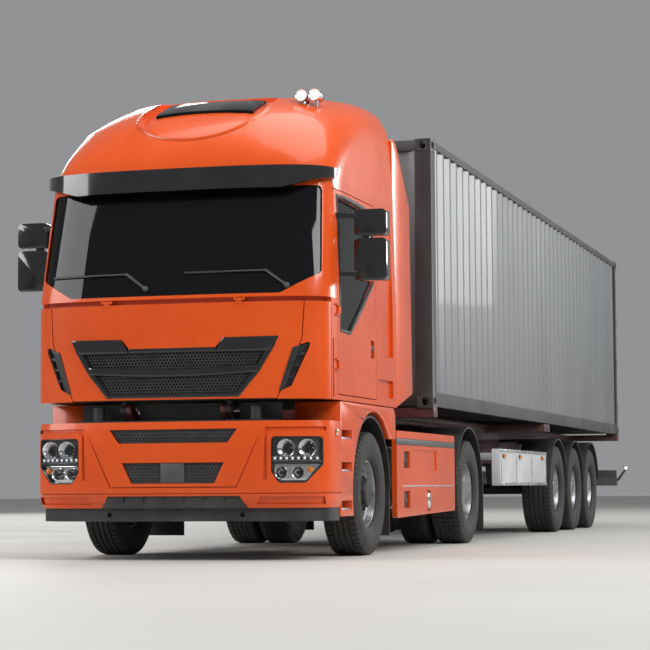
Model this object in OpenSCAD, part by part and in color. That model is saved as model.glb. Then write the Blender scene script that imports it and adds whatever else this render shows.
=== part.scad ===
// Articulated lorry: cab-over tractor unit coupled to a container semi-trailer.
// +X forward, +Y left, +Z up, millimetres, origin on the ground under the middle of the outline.

/* [Tractor] */
// Front axle to drive axle
wheelbase = 3800; // [3700:10:4000]
// Foremost point of the cab ahead of the front axle
front_overhang = 1580; // [1500:10:1640]
// Kingpin ahead of the drive axle
kingpin_lead = 600; // [500:10:700]
// Height of the coupling plate
coupling_z = 1215; // [1200:5:1220]
// Top of the tractor frame rails
frame_top = 960; // [930:5:980]
// Depth of the frame rails
rail_h = 270; // [220:10:300]
// Half width over the frame rails
rail_half = 425; // [400:5:430]

/* [Cab] */
// Width over the side panels
cab_w = 2490; // [2450:10:2520]
// Length from the foremost point to the rear wall
cab_len = 2380; // [2300:10:2430]
// Underside of the cab
cab_bottom = 1270; // [1265:5:1290]
// Highest point of the roof
roof_top = 3940; // [3860:10:4000]
// Split between side walls and roof
roof_split = 3050; // [3030:5:3080]
// Thickness of walls and doors
cab_wall = 60; // [50:5:70]
// Lower edge of the windscreen
screen_bottom = 2105; // [2095:5:2130]
// Front edge of the doors ahead of the front axle
door_front = 1130; // [1080:10:1150]
// Rear edge of the doors behind the front axle
door_rear = 90; // [40:10:150]
// Lower edge of the doors
door_bottom = 1310; // [1300:5:1350]
// Gap around doors and lid
shut_gap = 8; // [6:1:12]
// Depth of the sun visor
visor_h = 180; // [140:5:200]
// Reach of the side fairings behind the cab
fairing_reach = 700; // [600:10:760]

/* [Wheels] */
// Outer diameter of the tractor tyres
tyre_d = 1040; // [1000:5:1060]
// Width of the tractor tyres
tyre_w = 315; // [295:5:325]
// Outer diameter of the trailer tyres
trailer_tyre_d = 1072; // [1030:5:1090]
// Width of the trailer tyres
trailer_tyre_w = 385; // [365:5:395]
// Middle of the front tyres from the centre line
front_track_half = 1062; // [1050:2:1070]
// Outer face of the twin and trailer tyres from the centre line
tyre_face = 1245; // [1235:5:1265]
// Spacing of the twin tyres
twin_pitch = 350; // [345:5:365]
// Wheel seat diameter
rim_d = 571; // [560:1:580]

/* [Trailer] */
// Container length
box_len = 12192; // [11800:10:12400]
// Container width
box_w = 2438; // [2400:2:2460]
// Container height
box_h = 2591; // [2500:5:2700]
// Underside of the container
box_z = 1325; // [1320:5:1345]
// Container front ahead of the kingpin
box_lead = 890; // [850:10:950]
// Last trailer axle ahead of the container's rear end
rear_overhang = 2832; // [2700:10:2950]
// Spacing of the trailer axles
axle_pitch = 1310; // [1300:5:1350]
// Corrugations along one side wall
side_waves = 40; // [30:1:44]
// Depth of the wall corrugations
wave_depth = 36; // [24:2:44]
// Front of the side guards behind the kingpin
guard_lead = 2170; // [2050:10:2300]

/* [Hidden] */
$fn = 48;
// Seating gap between pieces that rest on each other
seat = 0.3;
// Radial clearance of pins and wheel bores
fit = 0.06;
// Radial clearance of the door and lid hinge rings
ring_fit = 0.1;
// Overlap inside one piece
lap = 2;

total_len = front_overhang + wheelbase - kingpin_lead - box_lead + box_len;
front_x = total_len / 2;
axle1_x = front_x - front_overhang;
axle2_x = axle1_x - wheelbase;
kingpin_x = axle2_x + kingpin_lead;
box_front_x = kingpin_x + box_lead;
box_rear_x = box_front_x - box_len;
bogie_x = box_rear_x + rear_overhang + 2 * axle_pitch;
cab_half = cab_w / 2;
cab_rear_x = front_x - cab_len;
door_front_x = axle1_x + door_front;
door_rear_x = axle1_x - door_rear;
door_top = roof_split - 70;
hub_z = tyre_d / 2;
trailer_hub_z = trailer_tyre_d / 2;
rail_z = frame_top - rail_h;
rim_r = rim_d / 2;

// Colours
ORANGE = [0.86, 0.27, 0.10];
BLACK = [0.05, 0.05, 0.06];
DARK = [0.16, 0.16, 0.17];
GREY = [0.55, 0.57, 0.59];
STEEL = [0.70, 0.71, 0.73];
GLASS = [0.10, 0.12, 0.14];
CHASSIS = [0.22, 0.08, 0.07];
WHITE = [0.85, 0.86, 0.86];

// Basic shapes
module box(x0, x1, y0, y1, z0, z1) {
    translate([x0, y0, z0]) cube([x1 - x0, y1 - y0, z1 - z0]);
}
// Prism of a (y, z) drawing along X
module prism_x(x0, x1) {
    translate([x0, 0, 0]) rotate([90, 0, 90]) linear_extrude(x1 - x0) children();
}
// Prism of an (x, z) drawing along Y
module prism_y(y0, y1) {
    translate([0, y1, 0]) rotate([90, 0, 0]) linear_extrude(y1 - y0) children();
}
module prism_z(z0, z1) {
    translate([0, 0, z0]) linear_extrude(z1 - z0) children();
}
module rod_x(r, x0, x1) {
    translate([x0, 0, 0]) rotate([0, 90, 0]) cylinder(r = r, h = x1 - x0);
}
module rod_y(r, y0, y1) {
    translate([0, y0, 0]) rotate([-90, 0, 0]) cylinder(r = r, h = y1 - y0);
}
module rod_z(r, z0, z1) {
    translate([0, 0, z0]) cylinder(r = r, h = z1 - z0);
}
module both_sides() {
    children();
    mirror([0, 1, 0]) children();
}
module rounded(r) {
    offset(r = r, $fn = 16) offset(delta = -r) children();
}
// Far enough to cut through any panel
past = 50;

// Rounded nose outline seen from above
nose_steps = 11;
nose_bow = 60;
function nose_angle(i) = 90 * sign(i) * pow(abs(i) / nose_steps, 1.5);
function side_share(i, p) = sign(i) * pow(abs(sin(nose_angle(i))), 2 / p);
function nose_share(i, p) = pow(max(0, cos(nose_angle(i))), 2 / p);
function outline(front, nose, half, p, rear) = concat(
    [[rear, -half]],
    [for (i = [-nose_steps : nose_steps])
        [front - nose + nose * nose_share(i, p) - nose_bow * pow(side_share(i, p), 2),
            half * side_share(i, p)]],
    [[rear, half]]
);
// Columns of the layer tables
L_Z = 0;
L_BACK = 1;
L_NOSE = 2;
L_HALF = 3;
L_POWER = 4;
roof_h = roof_top - roof_split;
// Height, front setback, nose length, half width, squareness of the corners
cab_layers = [
    [cab_bottom, 0, 400, cab_half, 5],
    [screen_bottom - 25, 0, 400, cab_half, 5],
    [roof_split, 205, 430, cab_half - 25, 4.6],
    [roof_split + 0.15 * roof_h, 250, 500, cab_half - 29, 4.1],
    [roof_split + 0.30 * roof_h, 310, 600, cab_half - 35, 3.6],
    [roof_split + 0.60 * roof_h, 520, 850, cab_half - 48, 2.9],
    [roof_split + 0.78 * roof_h, 780, 1000, cab_half - 82, 2.5],
    [roof_split + 0.93 * roof_h, 1110, 900, cab_half - 165, 2.3],
    [roof_top, 1480, 600, cab_half - 340, 2.2]
];
bumper_top = 1100;
bumper_low = 415;
bumper_rear_x = axle1_x + 1055;
bumper_layers = [
    [bumper_low, 45, 420, cab_half - 10, 5],
    [470, 22, 410, cab_half, 5],
    [520, 8, 400, cab_half + 4, 5],
    [900, 0, 400, cab_half + 4, 5],
    [1040, 6, 400, cab_half + 3, 5],
    [bumper_top, 18, 400, cab_half, 5]
];
skin_t = 0.5;
module layer(l, inset, z) {
    translate([0, 0, z]) linear_extrude(skin_t)
        polygon(outline(front_x - l[L_BACK] - inset, l[L_NOSE], l[L_HALF] - inset, l[L_POWER],
            cab_rear_x + inset));
}
// Solid between neighbouring layers of a table, drawn in by inset
module slabs(layers, inset, z) {
    for (i = [0 : len(layers) - 2]) hull() {
        layer(layers[i], inset, z[i]);
        layer(layers[i + 1], inset, z[i + 1]);
    }
}
// Solid within the cab skin, drawn in by inset and carried down by reach
module cab_env(inset = 0, reach = 0) {
    slabs(cab_layers, inset, [for (l = cab_layers)
        l[L_Z] == cab_bottom ? cab_bottom - reach : l[L_Z] > roof_split ? l[L_Z] - inset - skin_t : l[L_Z]]);
}
module bumper_env(inset = 0, reach = 0) {
    slabs(bumper_layers, inset, [for (l = bumper_layers)
        l[L_Z] == bumper_low ? bumper_low - reach
            : l[L_Z] == bumper_top ? bumper_top - skin_t + reach : l[L_Z]]);
}
module cab_skin(a, b) {
    difference() {
        cab_env(a);
        cab_env(b, 20);
    }
}
module bumper_skin(a, b) {
    difference() {
        bumper_env(a);
        bumper_env(b, 20);
    }
}

// Drawings shared by an opening and what fills it
screen_corner = 165;
screen_half = cab_half - 360;
screen_top = roof_split - 65;
module screen_shape() {
    rounded(40) polygon([
        [-screen_half, screen_bottom], [screen_half, screen_bottom],
            [cab_half - 60, screen_bottom + screen_corner],
        [cab_half - 95, screen_top], [95 - cab_half, screen_top],
            [60 - cab_half, screen_bottom + screen_corner]
    ]);
}
lid_top = screen_bottom - 65;
lid_bottom = cab_bottom + 6;
lid_half_top = cab_half - 175;
lid_half_knee = cab_half - 195;
lid_half_bottom = cab_half - 385;
lid_knee = screen_bottom - 365;
module lid_shape() {
    polygon([
        [-lid_half_bottom, lid_bottom], [lid_half_bottom, lid_bottom], [lid_half_knee, lid_knee],
        [lid_half_top, lid_top], [-lid_half_top, lid_top], [-lid_half_knee, lid_knee]
    ]);
}
// Half outline of the grille: height below the windscreen, distance in from the cab side
grille_rows = [[815, 690], [620, 525], [435, 412], [340, 368], [345, 815], [420, 880]];
G_DROP = 0;
G_IN = 1;
module grille_shape() {
    rounded(22) polygon(concat(
        [for (g = grille_rows) [cab_half - g[G_IN], screen_bottom - g[G_DROP]]],
        [for (i = [len(grille_rows) - 1 : -1 : 0])
            [grille_rows[i][G_IN] - cab_half, screen_bottom - grille_rows[i][G_DROP]]]
    ));
}
// Arched bar across the grille
arch_drop = 645;
arch_rise = 30;
arch_bar_h = 52;
module grille_bar_shape() {
    polygon(concat(
        [for (t = [-1 : 0.125 : 1]) [t * (cab_half - 505), screen_bottom - arch_drop + arch_rise * t * t]],
        [for (t = [1 : -0.125 : -1]) [t * (cab_half - 505),
            screen_bottom - arch_drop + arch_rise * t * t + arch_bar_h]]
    ));
}
// Vent at the cab corner, beside the lower part of the lid
vent_rows = [[780, 372], [735, 270], [430, 135], [385, 128], [430, 265]];
module vent_shape() {
    rounded(12) polygon([for (v = vent_rows) [cab_half - v[G_IN], screen_bottom - v[G_DROP]]]);
}
module door_shape() {
    translate([door_rear_x, door_bottom]) square([door_front_x - door_rear_x, door_top - door_bottom]);
}
window_front = 95;
window_low = screen_bottom - 265;
window_kink = screen_bottom + 195;
module window_shape() {
    rounded(35) polygon([
        [door_front_x - window_front, door_top - 65], [door_rear_x + 120, door_top - 90],
        [door_rear_x + 100, window_kink], [door_front_x - 390, window_low],
            [door_front_x - window_front, window_low]
    ]);
}
lamp_inner = cab_half - 435;
lamp_outer = cab_half - 45;
lamp_depth = 300;
lamp_z0 = 610;
lamp_z1 = 975;
module lamp_shape() {
    rounded(35) polygon([
        [lamp_inner, lamp_z0 + 90], [lamp_inner + 60, lamp_z0], [lamp_outer - 120, lamp_z0],
        [lamp_outer, lamp_z0 + 140], [lamp_outer, lamp_z1], [lamp_inner, lamp_z1]
    ]);
}
module upper_mesh_shape() {
    polygon([[785 - cab_half, 930], [cab_half - 785, 930], [cab_half - 705, 1040], [705 - cab_half, 1040]]);
}
module lower_mesh_shape() {
    polygon([[895 - cab_half, 610], [cab_half - 895, 610], [cab_half - 815, 775], [815 - cab_half, 775]]);
}
module intake_shape() {
    polygon([
        [605 - cab_half, bumper_low - past], [cab_half - 605, bumper_low - past],
        [cab_half - 690, bumper_low + 95], [690 - cab_half, bumper_low + 95]
    ]);
}

// Tractor chassis
pivot_x = front_x - 120;
pivot_z = cab_bottom - 70;
pivot_r = 20;
pivot_y = 380;
frame_front_x = axle1_x + 1040;
frame_rear_x = axle2_x - 900;
rail_flange = 80;
rail_t = 9;
cross_x = [frame_front_x - 60, axle1_x - 1300, axle1_x - 2000, axle2_x + 500, axle2_x - 500,
    frame_rear_x + 10];
cross_h = 160;
cross_half = 30;
module tractor_frame() {
    color(CHASSIS) {
        difference() {
            both_sides() box(frame_rear_x, frame_front_x, rail_half - rail_flange, rail_half, rail_z,
                frame_top);
            both_sides() box(frame_rear_x - 10, frame_front_x + 10, rail_half - rail_flange - 10,
                rail_half - rail_t,
                rail_z + rail_t, frame_top - rail_t);
        }
        for (x = cross_x)
            box(x - cross_half, x + cross_half, -rail_half + rail_t - lap, rail_half - rail_t + lap,
                frame_top - 20 - cross_h, frame_top - 20);
        both_sides() {
            difference() {
                prism_y(pivot_y, pivot_y + 40) hull() {
                    translate([pivot_x, pivot_z]) circle(r = 42);
                    translate([frame_front_x - 200, rail_z + 40]) square([180, rail_h - 60]);
                }
                translate([pivot_x, 0, pivot_z]) rod_y(pivot_r, pivot_y - 10, pivot_y + 60);
            }
            translate([pivot_x, 0, pivot_z]) rod_y(pivot_r, pivot_y, pivot_y + 92);
        }
    }
}

knuckle_y = 880;
knuckle_pin_r = 25;
knuckle_boss_r = 45;
beam_z = hub_z - 130;
module front_axle() {
    color(DARK) {
        box(axle1_x - 60, axle1_x + 60, -640, 640, beam_z - 60, beam_z + 60);
        both_sides() {
            prism_x(axle1_x - 50, axle1_x + 50) polygon([
                [600, beam_z - 60], [640, beam_z - 60], [knuckle_y - 105, hub_z - 50],
                    [knuckle_y, hub_z - 50],
                [knuckle_y, hub_z + 50], [knuckle_y - 105, hub_z + 50], [600, beam_z + 60]
            ]);
            translate([axle1_x, knuckle_y, 0]) rod_z(knuckle_boss_r, hub_z - 50, hub_z + 50);
            translate([axle1_x, knuckle_y, 0]) rod_z(knuckle_pin_r, hub_z - 125, hub_z + 125);
            prism_y(330, 410) polygon([
                [axle1_x - 850, rail_z - 85], [axle1_x - 800, rail_z - 85], [axle1_x - 90, beam_z + 58],
                [axle1_x + 90, beam_z + 58], [axle1_x + 800, rail_z - 85], [axle1_x + 850, rail_z - 85],
                [axle1_x + 850, rail_z - seat], [axle1_x + 800, rail_z - seat],
                    [axle1_x + 800, rail_z - 55],
                [axle1_x + 90, beam_z + 95], [axle1_x - 90, beam_z + 95], [axle1_x - 800, rail_z - 55],
                [axle1_x - 800, rail_z - seat], [axle1_x - 850, rail_z - seat]
            ]);
        }
    }
}

spindle_r = 45;
drive_spindle_r = 62;
trailer_spindle_r = 60;
module knuckle(s) {
    color(DARK) translate([axle1_x, 0, 0]) mirror([0, s < 0 ? 1 : 0, 0]) {
        difference() {
            union() {
                box(-70, 70, knuckle_y - 60, knuckle_y + 100, hub_z + 56, hub_z + 125);
                box(-70, 70, knuckle_y - 60, knuckle_y + 100, hub_z - 125, hub_z - 56);
                box(-70, 70, knuckle_y + 50, knuckle_y + 100, hub_z - 125, hub_z + 125);
                translate([0, 0, hub_z]) rod_y(spindle_r, knuckle_y + 90, front_track_half + 60);
            }
            translate([0, knuckle_y, 0]) rod_z(knuckle_pin_r + fit, hub_z - 200, hub_z + 200);
        }
    }
}
module knuckle_left() {
    knuckle(1);
}
module knuckle_right() {
    knuckle(-1);
}

shaft_rise = 4;
shaft_r = 60;
twin_mid = tyre_face - tyre_w / 2 - twin_pitch / 2;
module drive_axle() {
    color(DARK) {
        translate([axle2_x, 0, hub_z]) {
            rod_y(95, -twin_mid + 250, twin_mid - 250);
            rod_y(drive_spindle_r, -twin_mid - 60, twin_mid + 60);
            sphere(r = 230);
            rod_x(110, 0, 330);
        }
        both_sides() {
            prism_y(rail_half - 110, rail_half - 30) polygon([
                [axle2_x - 520, hub_z - 120], [axle2_x + 560, hub_z - 60], [axle2_x + 560, hub_z + 20],
                    [axle2_x - 520, hub_z - 40]
            ]);
            for (x = [axle2_x - 440, axle2_x + 440])
                translate([x, rail_half - 70, 0]) rod_z(65, hub_z - 60, rail_z - seat);
        }
        translate([axle2_x, 0, hub_z]) rotate([0, -shaft_rise, 0])
            rod_x(shaft_r, 300,
                (wheelbase + engine_rear_x - axle1_x - seat - shaft_r * sin(shaft_rise)) / cos(shaft_rise));
    }
}
engine_rear_x = axle1_x - 1150;
engine_front_x = axle1_x + 760;
module engine_block() {
    color(DARK) {
        box(axle1_x - 450, engine_front_x, -300, 300, hub_z + 125, cab_bottom - 70);
        box(engine_rear_x, axle1_x - 450 + lap, -260, 260, hub_z, frame_top + 20);
        both_sides() box(axle1_x - 300, axle1_x - 180, 290, rail_half - rail_t - seat, frame_top - 80,
            frame_top - 30);
    }
}

seam_w = 10;
seam_depth = 30;
lip_seam_z = 526;
lip_seam_h = 8;
corner_dent = 14;
// Lid drawn in the middle of the bumper
module bumper_lid_shape(g) {
    polygon([
        [720 - cab_half - g, 585 - g], [cab_half - 720 + g, 585 - g],
        [cab_half - 457 + g, bumper_top + past], [457 - cab_half - g, bumper_top + past]
    ]);
}
// Shallow dents in the lower corners and between the lamps and the lid
module dent_shape() {
    polygon([[cab_half - 560, 445], [cab_half - 40, 445], [cab_half - 40, 505], [cab_half - 520, 505]]);
    polygon([
        [cab_half - 500, 640], [cab_half - 465, 640], [cab_half - 465, 990], [cab_half - 430, 1020],
        [cab_half - 30, 1020], [cab_half - 30, 1050], [cab_half - 480, 1050]
    ]);
}
module front_bumper() {
    color(ORANGE) difference() {
        intersection() {
            bumper_skin(0, 55);
            box(bumper_rear_x, front_x + past, -cab_w, cab_w, bumper_low, bumper_top);
        }
        prism_x(front_x - lamp_depth, front_x + past) {
            lamp_shape();
            mirror([1, 0]) lamp_shape();
            upper_mesh_shape();
            lower_mesh_shape();
            intake_shape();
        }
        prism_x(front_x - seam_depth, front_x + past) difference() {
            bumper_lid_shape(seam_w);
            bumper_lid_shape(0);
        }
        intersection() {
            bumper_env(-20);
            difference() {
                union() {
                    box(bumper_rear_x - past, front_x + past, -cab_w, cab_w, lip_seam_z,
                        lip_seam_z + lip_seam_h);
                    prism_x(front_x - lamp_depth, front_x + past) {
                        dent_shape();
                        mirror([1, 0]) dent_shape();
                    }
                }
                bumper_env(corner_dent);
            }
        }
    }
}
slot_depth = 230;
slot_half = cab_half - 395;
valance_low = 310;
tow_y = 560;
tow_z = 362;
tow_r = 20;
// Arms that carry the bumper from the foremost cross-member
carrier_y = 190;
carrier_w = 90;
carrier_h = 70;
carrier_z = frame_top - 140;
carrier_rise = 132;
intake_ribs = 7;
step_post_r = 48;
step_post_y = cab_half - 580;
module bumper_valance() {
    color(BLACK) {
        difference() {
            intersection() {
                prism_z(valance_low, bumper_low - seat) polygon(outline(front_x - 70, 420, cab_half - 15, 5,
                    cab_rear_x));
                box(bumper_rear_x, front_x + past, -cab_w, cab_w, 0, bumper_low);
            }
            prism_z(0, bumper_low - 15) polygon(outline(front_x - 135, 420, cab_half - 75, 5, cab_rear_x));
            both_sides() translate([0, tow_y, tow_z]) rod_x(tow_r, front_x - 400, front_x + past);
        }
        intersection() {
            prism_z(bumper_low + seat, bumper_top - 5) difference() {
                polygon(outline(front_x - 22, 400, cab_half - 20, 5, cab_rear_x));
                polygon(outline(front_x - 50, 400, cab_half - 48, 5, cab_rear_x));
            }
            prism_x(front_x - 450, front_x + past) {
                offset(delta = -seat) upper_mesh_shape();
                offset(delta = -seat) lower_mesh_shape();
                offset(delta = -seat) intake_shape();
            }
        }
        difference() {
            intersection() {
                prism_z(bumper_top + seat, bumper_top + 12) polygon(outline(front_x - 40, 400,
                    cab_half - 25, 5, cab_rear_x));
                box(front_x - slot_depth - 15, front_x, -slot_half, slot_half, bumper_top, bumper_top + 20);
            }
            both_sides() box(front_x - 320, front_x - 65, pivot_y - 20, pivot_y + 110, bumper_top - 10,
                cab_bottom);
        }
        difference() {
            box(front_x - slot_depth - 15, front_x - slot_depth, -slot_half, slot_half, bumper_top + 10,
                cab_bottom - 20);
            both_sides() box(front_x - 320, front_x - 65, pivot_y - 20, pivot_y + 110, bumper_top - 10,
                cab_bottom);
        }
        both_sides() translate([pivot_x, step_post_y, 0]) rod_z(step_post_r, bumper_top + 10, pivot_z + 20);
        intersection() {
            both_sides() prism_y(carrier_y, carrier_y + carrier_w) polygon([
                [cross_x[0] + cross_half + seat, carrier_z], [front_x, carrier_z + carrier_rise],
                [front_x, carrier_z + carrier_rise + carrier_h],
                [cross_x[0] + cross_half + seat, carrier_z + carrier_h]
            ]);
            prism_z(bumper_low, bumper_top) polygon(outline(front_x - 36, 400, cab_half - 34, 5,
                cab_rear_x));
        }
        for (i = [1 : intake_ribs])
            translate([0, (2 * i / (intake_ribs + 1) - 1) * (cab_half - 690), 0])
                box(front_x - 70, front_x - 45, -6, 6, bumper_low + seat, bumper_low + 94);
    }
}
// Reflectors in a lamp: distance from the inner edge, height, radius, depth behind the foremost point
reflectors = [[115, 885, 58, 78], [290, 885, 58, 138], [70, 700, 42, 70], [215, 700, 42, 98]];
R_Y = 0;
R_Z = 1;
R_RADIUS = 2;
R_BACK = 3;
lamp_split_z = 776;
module headlamps() {
    color(GLASS) both_sides() difference() {
        intersection() {
            bumper_skin(8, 54);
            prism_x(front_x - lamp_depth, front_x + past) offset(delta = -seat) lamp_shape();
        }
        for (r = reflectors)
            translate([0, lamp_inner + r[R_Y], r[R_Z]]) rod_x(r[R_RADIUS], front_x - r[R_BACK],
                front_x + past, $fn = 24);
        intersection() {
            prism_x(front_x - lamp_depth, front_x + past)
                translate([lamp_inner, lamp_split_z]) square([lamp_outer - lamp_inner, 10]);
            difference() {
                bumper_env();
                bumper_env(24);
            }
        }
    }
}
step_front_x = bumper_rear_x - seat;
arch_r = 690;
step_z0 = 340;
step_in = 385;
step_bay = 250;
step_slot_h = 75;
step_slots = [step_z0 + 50, step_z0 + 360, step_z0 + 620];
fender_gap = 8;
fender_top = cab_bottom - fender_gap;
fender_rear_x = axle1_x - arch_r - 45;
fender_low = hub_z + 470;
fender_t = 60;
module arch_circle() {
    translate([axle1_x, hub_z]) circle(r = arch_r, $fn = 96);
}
module entry_steps() {
    color(ORANGE) both_sides() {
        difference() {
            prism_y(cab_half - step_in, cab_half) difference() {
                translate([axle1_x + 150, step_z0]) square([step_front_x - axle1_x - 150,
                    fender_top - step_z0]);
                arch_circle();
            }
            for (z = step_slots)
                box(axle1_x + 720, step_front_x - 25, cab_half - step_bay, cab_half + past, z,
                    z + step_slot_h);
            box(axle1_x, step_front_x - 40, cab_half - step_in - past, cab_half - step_bay - 50, 0,
                cab_bottom - 60);
        }
        prism_y(cab_half - fender_t, cab_half) difference() {
            polygon([
                [fender_rear_x, fender_low], [axle1_x + 200, fender_low], [axle1_x + 200, fender_top],
                [fender_rear_x + 60, fender_top], [fender_rear_x, fender_top - 60]
            ]);
            arch_circle();
        }
    }
}
skirt_front_x = axle1_x - 770;
skirt_rear_x = axle2_x + 700;
skirt_z0 = 300;
skirt_z1 = 1070;
skirt_t = 45;
// Cuts in a skirt: distance behind its front edge, length, lower edge, height, depth
skirt_cuts = [[260, 220, 740, 150, 28], [260, 220, 385, 150, 28], [620, 920, 720, 190, 10],
    [220, 2060, 573, 14, 8],
    [1160, 130, 350, 190, 20]];
C_BACK = 0;
C_LEN = 1;
C_Z = 2;
C_H = 3;
C_DEPTH = 4;
stripe_z = 945;
stripe_h = 60;
stripe_depth = 10;
cap_x = skirt_front_x - 1225;
cap_z = 445;
module side_skirts() {
    color(ORANGE) both_sides() {
        difference() {
            prism_y(cab_half - skirt_t, cab_half) rounded(40) polygon([
                [skirt_rear_x, skirt_z0 + 40], [skirt_front_x, skirt_z0], [skirt_front_x, skirt_z1],
                    [skirt_rear_x, skirt_z1]
            ]);
            box(skirt_rear_x - past, skirt_front_x + past, cab_half - stripe_depth, cab_half + past,
                stripe_z, stripe_z + stripe_h);
            for (c = skirt_cuts)
                box(skirt_front_x - c[C_BACK] - c[C_LEN], skirt_front_x - c[C_BACK], cab_half - c[C_DEPTH],
                    cab_half + past,
                    c[C_Z], c[C_Z] + c[C_H]);
        }
        prism_y(cab_half - 30, cab_half - 2) translate([cap_x, cap_z]) scale([0.6, 1]) circle(r = 78);
    }
}
tank_gap = 70;
tank_z0 = 380;
tank_z1 = 930;
tank_arm_w = 80;
module fuel_tanks() {
    color(STEEL) both_sides() {
        prism_x(skirt_rear_x + 250, skirt_front_x - 150) rounded(90) polygon([
            [rail_half + tank_gap, tank_z0], [cab_half - skirt_t - seat, tank_z0],
            [cab_half - skirt_t - seat, tank_z1], [rail_half + tank_gap, tank_z1]
        ]);
        for (x = [skirt_rear_x + 500, skirt_front_x - 500])
            box(x - tank_arm_w / 2, x + tank_arm_w / 2, rail_half + seat, rail_half + tank_gap + 5,
                rail_z + 10, tank_z1 - 70);
    }
}
guard_r = 640;
guard_t = 16;
module arch_ring(cx, cz, r, a0, a1, y0, y1) {
    translate([cx, 0, cz]) prism_y(y0, y1) difference() {
        circle(r = r + guard_t, $fn = 96);
        circle(r = r, $fn = 96);
        polygon([[0, 0], [3 * r * cos(a0), 3 * r * sin(a0)], [2 * r, -3 * r], [-2 * r, -3 * r],
            [3 * r * cos(a1), 3 * r * sin(a1)]]);
    }
}
module tractor_mudguards() {
    color(BLACK) both_sides() {
        arch_ring(axle2_x, hub_z, guard_r, 8, 172, tyre_face - tyre_w - twin_pitch - 20, cab_half);
        box(axle2_x - guard_r - guard_t, axle2_x - guard_r, 600, cab_half, 120, hub_z + 100);
        translate([axle2_x - 300, 0, hub_z + 560]) rod_y(22, rail_half + seat, 700);
        translate([axle2_x + 300, 0, hub_z + 560]) rod_y(22, rail_half + seat, 700);
        for (s = [-1, 1])
            box(axle2_x + s * 300 - 22, axle2_x + s * 300 + 22, rail_half + seat, rail_half + 20,
                frame_top - 100, hub_z + 560);
        arch_ring(axle1_x, hub_z, guard_r, 25, 175, 640, cab_half - 30);
        box(axle1_x - guard_r - guard_t, axle1_x - guard_r, 700, cab_half - 40, 150, hub_z + 60);
        for (s = [-1, 1])
            box(axle1_x + s * 380 - 25, axle1_x + s * 380 + 25, rail_half + seat, 660, hub_z + 505,
                hub_z + 545);
        for (s = [-1, 1])
            box(axle1_x + s * 380 - 25, axle1_x + s * 380 + 25, rail_half + seat, rail_half + 20,
                frame_top - 80, hub_z + 545);
    }
}
plate_r = 460;
plate_t = 46;
kingpin_r = 25.4;
module fifth_wheel() {
    color(DARK) {
        difference() {
            translate([kingpin_x, 0, 0]) rod_z(plate_r, coupling_z - plate_t, coupling_z);
            translate([kingpin_x, 0, 0]) rod_z(kingpin_r + fit, coupling_z - 100, coupling_z + 10);
            prism_z(coupling_z - 100, coupling_z + 10) polygon([
                [kingpin_x - 60, -26], [kingpin_x - 60, 26], [kingpin_x - 600, 190], [kingpin_x - 600, -190]
            ]);
        }
        both_sides() {
            prism_y(230, rail_half - 10) polygon([
                [kingpin_x - 180, frame_top + seat], [kingpin_x + 180, frame_top + seat],
                [kingpin_x + 70, coupling_z - plate_t + lap], [kingpin_x - 70, coupling_z - plate_t + lap]
            ]);
        }
    }
}

// Cab
floor_t = 55;
module cab_floor() {
    color(DARK) {
        intersection() {
            prism_z(cab_bottom, cab_bottom + floor_t)
                polygon(outline(front_x - cab_wall - 32, 400, cab_half - cab_wall - 2 * seat, 5,
                    cab_rear_x));
            box(cab_rear_x + cab_wall + seat, front_x, -cab_w, cab_w, cab_bottom, cab_bottom + floor_t);
        }
        both_sides() difference() {
            union() {
                translate([pivot_x, 0, pivot_z]) rod_y(42, pivot_y + 46, pivot_y + 86);
                box(pivot_x - 60, pivot_x + 20, pivot_y + 46, pivot_y + 86, pivot_z, cab_bottom + lap);
            }
            translate([pivot_x, 0, pivot_z]) rod_y(pivot_r + fit, pivot_y, pivot_y + 120);
        }
    }
}
module cab_rear_wall() {
    color(ORANGE) intersection() {
        cab_env();
        box(cab_rear_x, cab_rear_x + cab_wall, -cab_w, cab_w, cab_bottom, roof_split - seat);
    }
}
// Sunk panels behind the doors: rear edge, length, lower edge, height
side_panels = [[cab_rear_x + 130, 430, 1700, 1200], [cab_rear_x + 130, 520, 1345, 150]];
Q_X = 0;
Q_LEN = 1;
Q_Z = 2;
Q_H = 3;
panel_dent = 25;
module cab_sides() {
    color(ORANGE) difference() {
        intersection() {
            cab_skin(0, cab_wall);
            box(cab_rear_x + cab_wall + seat, door_front_x - seat, -cab_w, cab_w, cab_bottom,
                roof_split - seat);
        }
        prism_y(-cab_w, cab_w) door_shape();
        both_sides() for (q = side_panels)
            box(q[Q_X], q[Q_X] + q[Q_LEN], cab_half - panel_dent, cab_half + past, q[Q_Z], q[Q_Z] + q[Q_H]);
    }
}
hinge_r = 8;
hinge_ring_r = 14;
door_hinge_x = door_front_x - shut_gap / 2;
door_hinge_y = cab_half + 4;
hinge_z = [1520, 1960];
hinge_h = 60;
lid_hinge_x = front_x - 14;
lid_hinge_z = lid_top + 20;
lid_hinge_y = [-560, 560];
post_x = door_front_x + 150;
slit_x = door_front_x + 92;
slit_w = 28;
slit_h = 470;
module cab_front() {
    color(ORANGE) {
        difference() {
            intersection() {
                cab_skin(0, cab_wall);
                box(door_front_x, front_x + 10, -cab_w, cab_w, cab_bottom, roof_split - seat);
            }
            box(post_x, front_x + past, -cab_w, cab_w, cab_bottom - past, lid_top + 38);
            prism_x(post_x - 100, front_x + past) screen_shape();
            both_sides() box(slit_x, slit_x + slit_w, cab_half - 45, cab_half + past, cab_bottom + 20,
                cab_bottom + 20 + slit_h);
            both_sides() for (z = hinge_z)
                translate([door_hinge_x, door_hinge_y, 0])
                    rod_z(hinge_ring_r + 6, z - 20, z + hinge_h + 20, $fn = 24);
        }
        intersection() {
            cab_skin(cab_wall - 5, cab_wall + 30);
            box(door_front_x + 10, front_x + past, -cab_w, cab_w, cab_bottom + floor_t + seat,
                screen_bottom - 5);
        }
    }
}
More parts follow.
